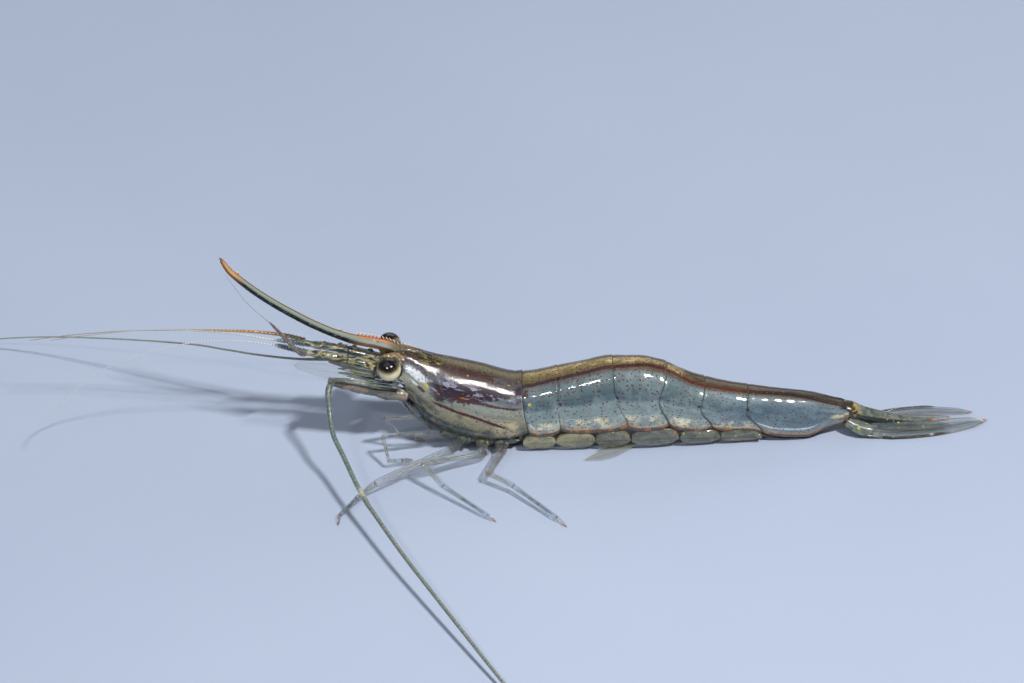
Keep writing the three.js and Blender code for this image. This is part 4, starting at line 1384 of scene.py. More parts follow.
def add_blade(body, line, thin=0.06, rib=0.04, roll=0.0, cup=0.0, around=28, round_from=0.88,
              share=(0.0, 1.0), thin_end=None, full=0.35):
    """A thin blade with a raised midrib; the line's sizes are its half widths."""
    t, _, half = blade_outline(line, round_from)
    rings, rims = [], []
    for i, (_, side, lift) in enumerate(axes_along(line)):
        wide_way = side * math.cos(roll) + lift * math.sin(roll)
        thin_way = lift * math.cos(roll) - side * math.sin(roll)
        ring, rim = [], []
        for angle in turns(around):
            across, up = math.cos(angle), math.sin(angle)
            thickness = thin if thin_end is None else thin + (thin_end - thin) * t[i]
            depth = up * thickness * (full + (1 - full) * abs(up))
            depth += math.copysign(rib * bump(across, 0.0, 0.16), up) * (1 - 0.7 * t[i])
            depth += cup * across * across * half[i]
            spot = Vector(line[i, :3]) + wide_way * across * half[i] + thin_way * depth
            ring.append([spot.x, spot.y, max(spot.z, FLOOR_GAP)])
            rim.append(across)
        rings.append(ring)
        rims.append(rim)
    body.add(
        rings, {"share": [[share[0] + (share[1] - share[0]) * v] * around for v in t], "rim": rims})


def blade_edges(line, roll=0.0, round_from=0.88):
    """Places round a blade's rim: side, share of the length, place and the way outwards."""
    t, over, half = blade_outline(line, round_from)
    edges = []
    for i, (ahead, side, lift) in enumerate(axes_along(line)):
        wide_way = side * math.cos(roll) + lift * math.sin(roll)
        for way in (-1, 1):
            spot = Vector(line[i, :3]) + wide_way * way * half[i] * 0.97
            out = wide_way * way * (1.0 - 0.8 * over[i]) + ahead * (0.9 + 1.4 * over[i])
            edges.append((way, t[i], spot, out))
    return edges


def across_body(places, side):
    """Places given for the left side, kept there or carried over to the right."""
    return [[x, -side * y, z, *rest] for x, y, z, *rest in places]


# ---- Head ----

EYE_AROUND = 64


def eye(name, side, finish):
    """A slightly drawn-out ball whose cornea looks up and outwards."""
    centre = Vector((EYE_X, side * EYE_Y, EYE_Z))
    axis = Vector((-0.08, side * 0.3, 0.95)).normalized()
    first = axis.cross(Vector((1, 0, 0))).normalized()
    second = axis.cross(first)
    rings, gaze = [], []
    for angle in np.linspace(0.03, math.pi - 0.03, 60):
        narrow = 1 - 0.05 * ease(angle, 1.5, 2.6)
        rim = 0.012 * bump(angle, 2.0, 0.08)
        out = math.sin(angle) * (EYE_RADIUS * narrow + rim)
        up = math.cos(angle) * EYE_RADIUS
        rings.append([list(centre + axis * up + (first * math.cos(turn) + second * math.sin(turn))
                           * out) for turn in turns(EYE_AROUND)])
        gaze.append([angle / math.pi] * EYE_AROUND)
    body = Assembly()
    body.add(rings, {"gaze": gaze})
    body.give(f"eye_ball_{name}", "eye", finish, f"eye_{name}")


def eyestalk(name, side, finish):
    """The short wrinkled stalk that carries the eye out from below the rostrum."""
    body = Assembly()
    for places in ([(-10.6, -0.25, 5.85, 0.34), (-10.9, -0.5, 6.0, 0.42), (-11.2, -0.8, 5.98, 0.5),
                    (-11.42, -1.05, 5.92, 0.58)],
                   [(-10.75, -0.5, 6.25, 0.16), (-11.2, -0.62, 6.34, 0.24),
                    (-11.75, -0.7, 6.28, 0.22), (-12.05, -0.72, 6.15, 0.1)]):
        line = flowing(across_body(places, side), 0.03)
        line[:, 3] *= 1 + 0.04 * np.sin(travel_along(line) * 32)
        add_tube(body, line, around=28, joint_reach=0.2, caps=0.12)
    body.give(f"eye_stalk_{name}", "eye", finish, f"eyestalk_{name}")


def add_segments(body, joints, rows, around=24):
    """Lumpy tubes from joint to joint: sizes, bow, steps, share, waist, flatness, reach, lumps."""
    for start, end, (sizes, bow, steps, share, waist, flat, reach, lumps) in zip(
            joints, joints[1:], rows):
        line = segment(start, end, *sizes, bow, steps)
        add_tube(body, line, share, waist, flat, around, reach, lumps=lumps)


def antennule(name, side, finish):
    """The three-jointed base of the antennule, with its side spine and hearing swelling."""
    body = Assembly()
    joints = across_body(
        [(-10.95, -0.42, 4.95), (-12.2, -0.46, 5.52), (-13.95, -0.46, 6.12), (-15.4, -0.46, 6.42),
         (-16.45, -0.47, 6.63)], side)
    first = flowing([[*joint, size] for joint, size in zip(joints, (0.24, 0.33, 0.33))], 0.05)
    add_tube(body, first, (0.0, 0.4), 0.05, 0.85, 24, 0.1, lumps=0.09)
    add_segments(body, joints[2:], (
        ((0.32, 0.25), 0.02, 34, (0.4, 0.7), 0.1, 0.9, 0.1, 0.12),
        ((0.26, 0.17), 0.0, 30, (0.7, 0.84), 0.06, 0.95, 0.1, 0.14)))
    for x, y, z, size in across_body([(-12.6, -0.62, 5.86, 0.2), (-13.5, -0.6, 6.16, 0.17),
                                      (-14.3, -0.58, 6.36, 0.15), (-15.2, -0.56, 6.5, 0.13)], side):
        lump = flowing([[x + size, y, z, size * 0.8], [x, y, z + 0.03, size],
                        [x - size * 1.2, y, z, size * 0.6]], 0.03)
        add_tube(body, lump, (0.3, 0.6), 0.0, 0.8, 16, 0.02, caps=0.3)
    spine = across_body(
        [(-11.3, -0.75, 5.2, 0.12), (-12.3, -0.86, 5.6, 0.1), (-13.1, -0.84, 5.92, 0.06),
         (-13.7, -0.8, 6.12, 0.012)], side)
    add_tube(body, flowing(spine, 0.06), (0.0, 0.5), 0.0, 0.7, 12, 0.1)
    body.give(f"antennule_base_{name}", "feelers", finish, f"antennule_{name}")


def antenna_base(name, side, finish):
    """The antenna's four base joints and their spine."""
    body = Assembly()
    joints = across_body(
        [(-10.55, -0.95, 3.86), (-11.75, -1.03, 4.16), (-13.2, -1.07, 4.56), (-14.2, -1.1, 4.85),
         (-14.95, -1.13, 5.02)], side)
    add_segments(body, joints, (
        ((0.4, 0.5), 0.03, 34, (0.0, 0.3), 0.04, 0.9, 0.12, 0.08),
        ((0.46, 0.42), 0.03, 34, (0.3, 0.6), 0.06, 0.9, 0.1, 0.07),
        ((0.4, 0.34), 0.0, 30, (0.6, 0.8), 0.05, 0.95, 0.1, 0.06)))
    add_segments(body, joints[3:], [((0.33, 0.22), 0.0, 26, (0.8, 0.85), 0.03, 1.0, 0.2, 0.0)], 20)
    spine = across_body(
        [(-11.2, -1.3, 4.1, 0.09), (-11.9, -1.4, 4.25, 0.05), (-12.3, -1.44, 4.32, 0.012)], side)
    add_tube(body, flowing(spine, 0.05), (0.0, 0.4), around=10, joint_reach=0.05)
    body.give(f"antenna_joints_{name}", "feelers", finish, f"antenna_base_{name}")


def antenna_folds(name, side, finish):
    """Soft folds and small spines between the antenna's base and its scale."""
    lines = []
    for y, lift, size in ((-1.42, 0.0, 0.15), (-1.3, 0.2, 0.13), (-1.16, 0.36, 0.1)):
        lines.append([(-10.9, y, 4.72 + lift, size), (-12.2, y - 0.06, 4.96 + lift, size),
                      (-13.3, y - 0.04, 5.16 + lift, size * 0.7), (-13.95, y, 5.3 + lift, 0.03)])
    for y, z, size in ((-1.1, 5.12, 0.15), (-1.0, 5.34, 0.16), (-0.86, 5.54, 0.14)):
        lines.append([(-12.3, y, z, size * 0.6), (-13.1, y, z + 0.2, size),
                      (-13.9, y, z + 0.4, size * 0.8), (-14.45, y - 0.02, z + 0.5, 0.03)])
    body = Assembly()
    for fold in lines:
        add_tube(body, flowing(across_body(fold, side), 0.05), (0.0, 0.6), 0.0, 0.6, 14, 0.1,
                 lumps=0.06)
    for x, z in ((-13.9, 5.16), (-14.2, 5.24), (-14.0, 5.42)):
        spine = across_body([(x + 0.35, -1.44, z - 0.08, 0.07), (x - 0.15, -1.46, z, 0.04),
                             (x - 0.4, -1.48, z + 0.05, 0.01)], side)
        add_tube(body, flowing(spine, 0.04), (0.4, 1.0), 0.0, 1.0, 10, 0.05)
    body.give(f"antenna_folds_{name}", "feelers", finish)


def antenna_scale(name, side, finish):
    """The antenna's broad scale; returns the roots of the fringe along its inner edge."""
    line = flowing(
        across_body([(-10.85, -1.28, 4.72, 0.24), (-12.0, -1.32, 5.0, 0.42),
                     (-13.6, -1.36, 5.5, 0.48), (-15.4, -1.32, 5.92, 0.4),
                     (-16.9, -1.2, 6.22, 0.16)], side), 0.08)
    roll = side * 0.62
    body = Assembly()
    add_blade(body, line, 0.045, 0.03, roll, round_from=0.93)
    body.give(f"antenna_blade_{name}", "feelers", finish, f"antenna_scale_{name}")
    return [(spot, out, 0.42) for way, share, spot, out in blade_edges(line, roll, 0.95)
            if share > 0.3 and (way * side > 0 or share > 0.93)]


def mouth_part(name, side, finish):
    """The outer jaw-foot, folded up in front of the mouth, with a brush along its inner edge."""
    body = Assembly()
    joints = across_body(
        [(-9.6, -0.3, 2.1), (-10.2, -0.36, 2.75), (-10.75, -0.38, 3.35), (-11.35, -0.42, 3.55)],
        side)
    add_segments(body, joints, (
        ((0.22, 0.24), 0.02, 26, (0.0, 0.35), 0.1, 0.8, 0.1, 0.0),
        ((0.23, 0.2), 0.02, 26, (0.35, 0.7), 0.12, 0.8, 0.1, 0.0)), 16)
    add_segments(body, joints[2:], [((0.16, 0.07), 0.0, 26, (0.7, 0.8), 0.1, 0.8, 0.1, 0.0)], 14)
    branch = across_body([(-10.3, -0.62, 3.0), (-10.9, -0.7, 3.6)], side)
    add_segments(body, branch, [((0.14, 0.04), 0.0, 26, (0.3, 0.6), 0.1, 0.8, 0.1, 0.0)], 12)
    body.give(f"jaw_foot_{name}", "soft_parts", finish, f"mouth_part_{name}")
    return [((j[0] - 0.1 * k, j[1], j[2] + 0.1 * k), (-0.8, -side * 0.2, -0.6), 0.3)
            for j in joints[1:] for k in range(-2, 3)]


FEELER_LINES = {
    "feeler_inner_left": [
        (-16.3, -0.42, 6.6, 0.2), (-17.1, -0.56, 6.95, 0.19), (-17.8, -0.68, 7.22, 0.14),
        (-18.2, -0.72, 7.34, 0.05), (-20.73, -0.9, 7.77, 0.036),
        (-23.72, -1.1, 7.57, 0.032), (-26.97, -1.4, 6.61, 0.03), (-29.25, -1.7, 5.2, 0.027),
        (-30.5, -2.0, 3.93, 0.024), (-30.87, -2.2, 3.24, 0.02)],
    "feeler_outer_left": [
        (-16.3, -0.7, 6.62, 0.15), (-16.6, -0.98, 6.95, 0.15), (-17.4, -1.1, 8.05, 0.12),
        (-18.1, -1.19, 9.05, 0.07), (-18.3, -1.25, 9.3, 0.022), (-19.44, -1.8, 10.97, 0.018),
        (-20.5, -2.5, 13.3, 0.012)],
    "feeler_inner_right": [
        (-16.3, 0.42, 6.6, 0.2), (-17.1, 0.38, 6.78, 0.18), (-17.8, 0.34, 6.9, 0.12),
        (-18.2, 0.32, 6.97, 0.06), (-20.85, 0.42, 7.41, 0.045),
        (-25.08, 1.2, 7.15, 0.035), (-29.17, 1.8, 6.38, 0.028), (-31.0, 2.1, 5.9, 0.02)],
    "feeler_outer_right": [
        (-16.3, 0.75, 6.62, 0.15), (-17.62, 0.98, 6.85, 0.13), (-20.1, 1.2, 7.0, 0.09),
        (-25.14, 2.0, 6.6, 0.045), (-29.24, 2.6, 5.98, 0.032), (-32.39, 3.2, 5.18, 0.02)],
    "antenna_feeler_left": [
        (-14.75, -1.2, 5.0, 0.2), (-14.98, -1.75, 4.75, 0.19), (-14.9, -2.6, 3.74, 0.16),
        (-14.7, -3.67, 3.05, 0.15), (-14.15, -4.9, 2.5, 0.145), (-13.4, -6.95, 2.05, 0.14),
        (-12.75, -8.55, 1.78, 0.15), (-12.45, -9.2, 1.7, 0.135), (-10.44, -13.51, 1.4, 0.125),
        (-7.22, -19.71, 0.9, 0.115), (-5.06, -23.74, 0.55, 0.1), (-2.6, -28.2, 0.21, 0.085),
        (-0.4, -32.0, 0.21, 0.06)],
    "antenna_feeler_right": [
        (-14.75, 1.13, 5.02, 0.12), (-16.73, 1.65, 4.7, 0.08), (-19.04, 2.7, 4.3, 0.065),
        (-20.93, 3.41, 4.2, 0.06), (-23.24, 4.38, 4.0, 0.055), (-27.59, 6.48, 3.0, 0.05),
        (-32.14, 8.57, 1.8, 0.045), (-36.5, 9.9, 0.75, 0.04), (-40.5, 10.6, 0.21, 0.036),
        (-46.0, 10.4, 0.21, 0.03)],
}


# For each feeler: its solid, its finish, how dark its rings are, their length and depth, and its
# colours from root to tip.
FEELER_FINISHES = (
    ("antenna_feeler_left", "Antenna feeler", 0.35, 0.26, 0.05, (0.0, "4E5C54"), (0.1, "546864"),
     (0.21, "60726C"), (0.225, "C4BE96"), (0.24, "647068"), (1.0, "80867E")),
    ("antenna_feeler_right", "Far antenna feeler", 0.4, 0.22, 0.1, (0.0, "687668"),
     (0.3, "84907E"), (1.0, "8A9084")),
    ("feeler_inner_left", "Pale feeler", 0.9, 0.18, 0.35, (0.0, "283C42"), (0.09, "465C64"),
     (0.12, "C4CED6"), (1.0, "D8DAD6")),
    ("feeler_outer_left", "Brown feeler", 0.5, 0.2, 0.12, (0.0, "464E4A"), (0.2, "605046"),
     (0.36, "5C3C32"), (0.42, "8C8A88"), (1.0, "96989A")),
    ("feeler_inner_right", "Light beaded feeler", 0.9, 0.18, 0.35, (0.0, "28424C"),
     (0.1, "46646E"), (0.13, "CECECC"), (1.0, "A0A29C")),
    ("feeler_outer_right", "Beaded feeler", 0.9, 0.22, 0.35, (0.0, "746034"), (0.2, "BA8238"),
     (0.36, "B09668"), (1.0, "96968C")),
)


def feelers():
    """The six ringed feelers, each in its own colours."""
    for node, name, dark, ring, depth, *stops in FEELER_FINISHES:
        finish = feeler_finish(name, dark, *stops)
        ringed(node.replace("feeler", "whip"), FEELER_LINES[node], finish, node, ring, depth)


# ---- Legs ----

# Joint places from the body outwards: two pairs with small pincers, then three walking pairs.
LEG_JOINTS = {
    "leg_1_left": [(-9.05, -0.66, 1.6), (-10.05, -0.84, 2.3), (-11.8, -1.45, 2.6),
                   (-11.03, -1.1, 1.2), (-9.52, -0.72, 0.5)],
    "leg_2_left": [(-8.35, -0.78, 1.2), (-9.35, -1.42, 1.5), (-11.92, -2.15, 1.86),
                   (-11.6, -2.9, 0.64), (-10.23, -2.4, 0.34)],
    "leg_3_left": [(-7.35, -0.9, 0.9), (-7.92, -2.4, 1.08), (-12.35, -5.51, 0.9),
                   (-13.37, -6.53, 0.6), (-14.3, -7.65, 0.32), (-14.43, -8.26, 0.04)],
    "leg_4_left": [(-6.3, -0.95, 0.68), (-6.1, -2.3, 0.72), (-9.63, -4.67, 1.7),
                   (-8.49, -5.64, 0.8), (-6.0, -7.82, 0.3), (-5.5, -8.1, 0.04)],
    "leg_5_left": [(-5.2, -0.98, 0.62), (-5.1, -2.2, 0.7), (-5.89, -4.57, 0.9),
                   (-4.5, -5.45, 0.6), (-2.09, -8.1, 0.3), (-1.5, -8.7, 0.04)],
    "leg_1_right": [(-9.05, 0.66, 1.6), (-9.9, 0.86, 2.2), (-11.0, 1.35, 2.1),
                    (-10.3, 1.05, 1.2), (-9.3, 0.75, 0.55)],
    "leg_2_right": [(-8.35, 0.78, 1.2), (-9.2, 1.42, 1.5), (-10.4, 2.2, 1.7), (-9.9, 2.35, 0.7),
                    (-8.9, 2.1, 0.34)],
    "leg_3_right": [(-7.35, 0.9, 0.9), (-7.7, 2.3, 1.05), (-9.6, 4.6, 1.5), (-9.9, 5.6, 0.95),
                    (-9.5, 6.9, 0.32), (-9.2, 7.4, 0.04)],
    "leg_4_right": [(-6.3, 0.95, 0.68), (-6.2, 2.2, 0.72), (-7.5, 4.3, 1.6), (-7.2, 5.1, 1.0),
                    (-6.0, 6.15, 0.3), (-5.6, 6.45, 0.04)],
    "leg_5_right": [(-5.2, 0.98, 0.62), (-4.95, 2.1, 0.68), (-4.9, 3.9, 1.1), (-4.2, 4.6, 0.8),
                    (-3.1, 5.75, 0.3), (-2.7, 6.05, 0.04)],
}
# Half thickness at the two ends of each segment, and its waist.
WALKING = [(0.34, 0.28, 0.05), (0.28, 0.25, 0.08), (0.21, 0.2, 0.12), (0.18, 0.14, 0.1),
           (0.12, 0.02, 0.0)]
GRASPING = [(0.28, 0.2, 0.08), (0.16, 0.14, 0.12), (0.14, 0.13, 0.12)]


def claw_fingers(body, wrist, tip):
    """A small pincer: a palm, and two slim fingers a little apart."""
    wrist, tip = Vector(wrist), Vector(tip)
    reach = tip - wrist
    palm_end = wrist + reach * 0.52
    add_tube(body, segment(wrist, palm_end, 0.12, 0.15), (0.78, 0.88), 0.05, 0.85, 14, 0.1)
    apart = reach.cross(UP).normalized()
    for way in (-1, 1):
        start = palm_end + apart * way * 0.07
        middle = palm_end + reach * 0.26 + apart * way * 0.12
        end = tip + apart * way * 0.035
        line = flowing([[*start, 0.075], [*middle, 0.055], [*end, 0.018]], 0.04)
        add_tube(body, line, (0.88, 1.0), 0.0, 1.0, 10, 0.05)
    return [(tip - reach * 0.1 * k, reach.normalized() + apart * way * 0.6, 0.22)
            for k in range(4) for way in (-1, 0, 1)]


def add_socket(body, root, size):
    """The swollen first joint of a leg, out of the side of the chest."""
    x, y, z = root
    line = flowing([[x, y * 0.5, z + 0.45, size * 0.9], [x, y * 0.85, z + 0.28, size * 1.35],
                    [x - 0.05, y * 1.08, z, size * 1.25]], 0.04)
    add_tube(body, line, (0.0, 0.1), 0.0, 0.9, 20, 0.2, caps=0.2, lumps=0.1)


def leg(node, finish):
    """One leg from its joints; returns the roots of its bristles."""
    joints = LEG_JOINTS[node]
    body = Assembly()
    walking = len(joints) == 6
    sizes = WALKING if walking else GRASPING
    bristles = []
    for i, (start_size, end_size, waist) in enumerate(sizes):
        start, end = joints[i], joints[i + 1]
        bow = 0.03 if i < 3 else 0.0
        share = (i / 5, (i + 1) / 5)
        if i == 0:
            add_socket(body, start, start_size)
        if walking and i == 4:
            middle = [(a + b) / 2 for a, b in zip(start, end)]
            middle[2] += 0.04
            line = flowing([[*start, start_size], [*middle, 0.08], [*end, end_size]], 0.03)
            add_tube(body, line, share, 0.0, 1.0, 12, 0.08)
        else:
            line = segment(start, end, start_size, end_size, bow)
            add_tube(body, line, share, waist, 0.92, 18, 0.1 if i else 0.01)
        if i >= 2:
            ahead = Vector(end) - Vector(start)
            aim = ahead.normalized() * 0.9 + Vector((0, 0, -0.5))
            for t in np.linspace(0.2, 0.95, 7):
                spot = [a + (b - a) * t for a, b in zip(start, end)]
                bristles.append((spot, aim, 0.24 if walking else 0.18))
    if not walking:
        bristles += claw_fingers(body, joints[3], joints[4])
    body.give(node.replace("leg", "walking_leg" if walking else "pincer_leg"), "legs", finish, node)
    return bristles


def leg_bases(name, side, finish):
    """The soft clear folds that carry the leg sockets, below the edge of the carapace."""
    body = Assembly()
    skirt = []
    for x in np.linspace(-9.7, -4.1, 30):
        ends = ease(x, -9.9, -9.0) * (1 - ease(x, -4.8, -4.0))
        wave = 0.36 + 0.05 * math.sin(6.3 * x)
        skirt.append((x, side * half_width(x) * 0.72, lower_edge(x) - 0.26, max(wave * ends, 0.04)))
    add_blade(body, flowing(skirt, 0.05), 0.15, 0.0, side * 1.35, round_from=0.99,
              share=(0.0, 0.3), around=32, full=0.8)
    for number in range(1, 6):
        x, y, z = LEG_JOINTS[f"leg_{number}_{name}"][0]
        for shift, size in ((0.0, 0.32), (0.36, 0.2)):
            line = [[x + shift, y * 1.1, z + 0.4, size * 0.8],
                    [x + shift - 0.04, y * 1.5, z + 0.16, size],
                    [x + shift - 0.1, y * 1.8, z - 0.02, size * 0.5]]
            add_tube(body, flowing(line, 0.04), (0.0, 0.3), 0.0, 0.8, 18, 0.02, 0.25, 0.05)
    body.give(f"leg_bases_{name}", "soft_parts", finish)


def leg_strands(finish):
    """Pale muscle strands inside the clear legs."""
    body = Assembly()
    for joints in LEG_JOINTS.values():
        sizes = WALKING if len(joints) == 6 else GRASPING
        for i in range(1, min(len(sizes), 4)):
            start, end = Vector(joints[i]), Vector(joints[i + 1])
            across = (end - start).cross(UP).normalized()
            for way in (-1, 1):
                off = across * way * sizes[i][1] * 0.42
                places = []
                for t, size in ((0.08, 0.012), (0.3, 0.03), (0.7, 0.028), (0.94, 0.01)):
                    spot = start + (end - start) * t + off * (1.1 - t * 0.5)
                    places.append([*spot, size])
                add_tube(body, flowing(places, 0.06), (0.2, 0.6), 0.0, 0.8, 8, 0.1)
    body.give("leg_muscles", "soft_parts", finish)


# ---- Swimming legs ----

SWIMMING_ROOTS = (-3.05, -0.55, 2.6, 5.15, 7.7)
SPREAD_LEG = "swimming_leg_3_left"      # this one lies spread forwards on the floor
# Where the stems' puffy lobes start and end along the body.
LOBES = ((-3.9, -1.98), (-1.96, 0.28), (0.3, 2.3), (2.36, 5.1), (5.16, 7.46), (7.5, 9.9))


def belly_lobes(name, side, lobes, finish):
    """The puffy clear lobes of the swimming legs' stems, side by side below the side plates."""
    body = Assembly()
    for start, end in lobes:
        line = []
        for t in np.linspace(-1, 1, 13):
            x = (start + end) / 2 + (end - start) / 2 * t
            hang = lower_edge(x)
            wave = 0.46 + 0.02 * math.sin(5.3 * x + 1.0)
            size = hang * wave * math.sqrt(max(1 - abs(t + 0.04) ** 3.6, 0.02))
            line.append((x, tail_swing(x) + side * half_width(x) * 0.76, hang * 0.62, size))
        add_blade(body, flowing(line, 0.04), 0.2, 0.0, side * 1.35, round_from=0.99,
                  share=(0.3, 0.7), around=32, full=0.8)
    body.give(f"swimmeret_stems_{name}", "soft_parts", finish)


def swimming_leg(index, name, side, finish):
    """A swimming leg: a broad stem and two fringed blades folded back under the belly."""
    node = f"swimming_leg_{index + 1}_{name}"
    root = SWIMMING_ROOTS[index]
    slim = half_width(root) / half_width(0)
    top = lower_edge(root) + belly_hollow(root) - 0.15
    body = Assembly()
    fringe = []
    if node == SPREAD_LEG:
        stem = [(2.9, -0.6, 1.75, 0.26), (2.85, -0.85, 0.9, 0.3), (2.5, -1.1, 0.45, 0.24)]
        blades = [([(2.6, -1.02, 0.42, 0.2), (1.6, -1.42, 0.16, 0.36), (0.6, -1.86, 0.1, 0.36),
                    (-0.3, -2.2, 0.08, 0.12)], 0.0),
                  ([(2.4, -0.9, 0.5, 0.16), (1.5, -1.1, 0.34, 0.26), (0.5, -1.4, 0.26, 0.2)], 0.5)]
    else:
        def back(x, y, z, size):
            return (root + x, tail_swing(root + x) + side * y * slim, z, size * slim)

        stem = [back(0.0, 0.6, top, 0.26), back(0.14, 0.76, top * 0.62, 0.3),
                back(0.55, 0.84, 0.5, 0.26)]
        blades = [([back(0.4, 0.86, 0.56, 0.2), back(1.0, 0.92, 0.44, 0.4),
                    back(1.8, 0.92, 0.38, 0.38), back(2.45, 0.88, 0.32, 0.1)], side * 1.1),
                  ([back(0.4, 0.56, 0.6, 0.16), back(1.1, 0.52, 0.44, 0.32),
                    back(1.9, 0.46, 0.34, 0.28), back(2.4, 0.42, 0.3, 0.08)], side * 0.8)]
    add_blade(body, flowing(stem, 0.06), 0.2, 0.05, side * 1.1 if node != SPREAD_LEG else 0.6,
              round_from=0.8, share=(0.2, 0.4))
    for places, roll in blades:
        line = flowing(places, 0.05)
        add_blade(body, line, 0.035, 0.025, roll, round_from=0.7, share=(0.3, 1.0), cup=0.1)
        fringe += [(spot, out, 0.24) for _, share, spot, out in blade_edges(line, roll, 0.7)
                   if share > 0.35]
    body.give(node.replace("swimming_leg", "swimmeret"), "soft_parts", finish, node)
    return fringe


# ---- Tail fan ----

# Offsets from the tail's middle line; the fins are closed over each other, the left ones outside.
OUTER_FIN = {
    "left": [(16.3, -0.92, 0.32, 0.22), (17.2, -1.0, 0.28, 0.38), (18.4, -1.0, 0.29, 0.46),
             (19.8, -0.92, 0.3, 0.49), (21.2, -0.76, 0.3, 0.44), (22.3, -0.6, 0.29, 0.28),
             (22.98, -0.52, 0.27, 0.1)],
    "right": [(16.3, 0.86, 0.32, 0.2), (17.2, 0.96, 0.28, 0.34), (18.4, 1.04, 0.26, 0.42),
              (19.6, 1.04, 0.24, 0.42), (20.8, 0.88, 0.22, 0.36), (21.6, 0.7, 0.2, 0.25),
              (22.2, 0.56, 0.18, 0.1)],
}
INNER_FIN = {
    "left": [(16.25, -0.52, 0.54, 0.16), (17.2, -0.66, 0.54, 0.28), (18.6, -0.82, 0.53, 0.34),
             (19.8, -0.9, 0.51, 0.29), (20.85, -0.95, 0.48, 0.1)],
    "right": [(16.25, 0.46, 0.5, 0.16), (17.2, 0.44, 0.44, 0.27), (18.6, 0.32, 0.4, 0.32),
              (19.8, 0.14, 0.38, 0.28), (20.85, -0.02, 0.36, 0.1)],
}
OUTER_ROLL = {"left": 0.46, "right": 0.1}
FIN_BASE = [(14.7, -0.46, 0.98, 0.26), (15.2, -0.66, 0.74, 0.42), (15.8, -0.8, 0.5, 0.46),
            (16.4, -0.86, 0.38, 0.3)]
TELSON = [
    (14.6, 0.0, 1.56, 0.56), (15.05, 0.0, 1.5, 0.62), (15.6, -0.02, 1.24, 0.57),
    (16.4, -0.06, 0.99, 0.49), (17.7, -0.12, 0.7, 0.36), (18.8, -0.18, 0.52, 0.22),
    (19.8, -0.22, 0.4, 0.06)]


def along_tail(places):
    """Places given beside a straight tail, moved to where the tail swings."""
    return [[x, tail_swing(x) + y, *rest] for x, y, *rest in places]


def telson(finish, spine_finish):
    """The tapered middle plate of the tail, arched over, with two pairs of small back spines."""
    line = flowing(along_tail(TELSON), 0.07)
    body = Assembly()
    add_blade(body, line, 0.42, 0.03, 0.0, cup=-0.15, around=40, round_from=0.97, thin_end=0.04,
              full=1.0)
    body.give("telson_plate", "tail_fan", finish, "telson")
    spines = []
    for x, size in ((17.2, 0.2), (18.4, 0.18)):
        i = int(np.argmin(np.abs(line[:, 0] - x)))
        for way in (-1, 1):
            spot = (x, line[i, 1] + way * line[i, 3] * 0.55, line[i, 2] + 0.19)
            spines.append((spot, (0.95, way * 0.1, 0.12), size))
    for way in (-0.9, -0.4, 0.4, 0.9):
        spot = (19.78, line[-1, 1] + way * 0.07, 0.4)
        spines.append((spot, (0.95, way * 0.35, -0.05), 0.55 if abs(way) < 0.5 else 0.4))
    planted("telson_spines", spines, spine_finish, "tail_fan", width=0.14, curl=0.05, sides=6,
            wander=0.02)


def fin_margin(name, side, line, roll, finish):
    """The stiff double outer margin of the outer fin, which ends in a movable spine."""
    reach = 20.8 if name == "left" else 20.1
    body = Assembly()
    for inset, size in ((0.97, 0.05), (0.8, 0.032)):
        places = []
        for place in line[:: 8]:
            if 16.6 < place[0] < reach - 0.3:
                off = side * place[3] * inset
                places.append([place[0], place[1] + off * math.cos(roll),
                               max(place[2] + off * math.sin(roll) + 0.02, size + 0.03), size])
        last = line[int(np.argmin(np.abs(line[:, 0] - reach)))]
        off = side * last[3] * (inset + 0.04)
        places.append([reach, last[1] + off * math.cos(roll),
                       max(last[2] + off * math.sin(roll), 0.08), 0.012])
        add_tube(body, flowing(places, 0.05), (0.0, 1.0), 0.0, 0.8, 10, 0.02)
    body.give(f"outer_fin_margin_{name}", "tail_fan", finish)


def fin_base(name, side, finish):
    """The short joint that carries both fins of one side, with its outer spine."""
    body = Assembly()
    base = flowing(along_tail(across_body(FIN_BASE, side)), 0.05)
    add_blade(body, base, 0.26, 0.03, -side * 0.6, round_from=0.85)
    spine = [(15.9, -1.12, 0.3, 0.1), (16.4, -1.2, 0.22, 0.06), (16.8, -1.26, 0.16, 0.012)]
    add_blade(body, flowing(along_tail(across_body(spine, side)), 0.04), 0.06, 0.02, 0.0, around=12)
    body.give(f"fin_base_{name}", "tail_fan", finish, f"tail_fin_base_{name}")


def tail_fins(name, side, inner_finish, outer_finish, margin_finish):
    """One side of the tail fan; returns the roots of its fringe."""
    fringe = []
    for part, places, step, roll, round_from, hair, finish in (
            ("inner", INNER_FIN, 0.06, 0.2, 0.8, 0.12, inner_finish),
            ("outer", OUTER_FIN, 0.07, OUTER_ROLL[name], 0.86, 0.1, outer_finish)):
        line = flowing(along_tail(places[name]), step)
        body = Assembly()
        add_blade(body, line, 0.035, 0.04, -side * roll, round_from=round_from)
        body.give(f"{part}_fin_{name}", "tail_fan", finish, f"tail_fin_{part}_{name}")
        for way, share, spot, out in blade_edges(line, -side * roll, round_from):
            fringed = share > 0.25 if part == "inner" else share > 0.8 or (
                way == -side and share > 0.3)
            if fringed:
                fringe.append((spot, out, 0.2 + hair * share))
    fin_margin(name, side, line, -side * roll, margin_finish)
    return fringe


# ---- The whole animal ----

def body_shell():
    carapace(carapace_finish())
    shell = somite_finish()
    for number in range(1, 7):
        somite(number, shell)
    flesh = flesh_finish()
    chest(flesh)
    belly_core(flesh)
    rostrum(rostrum_finish(), tooth_finish())


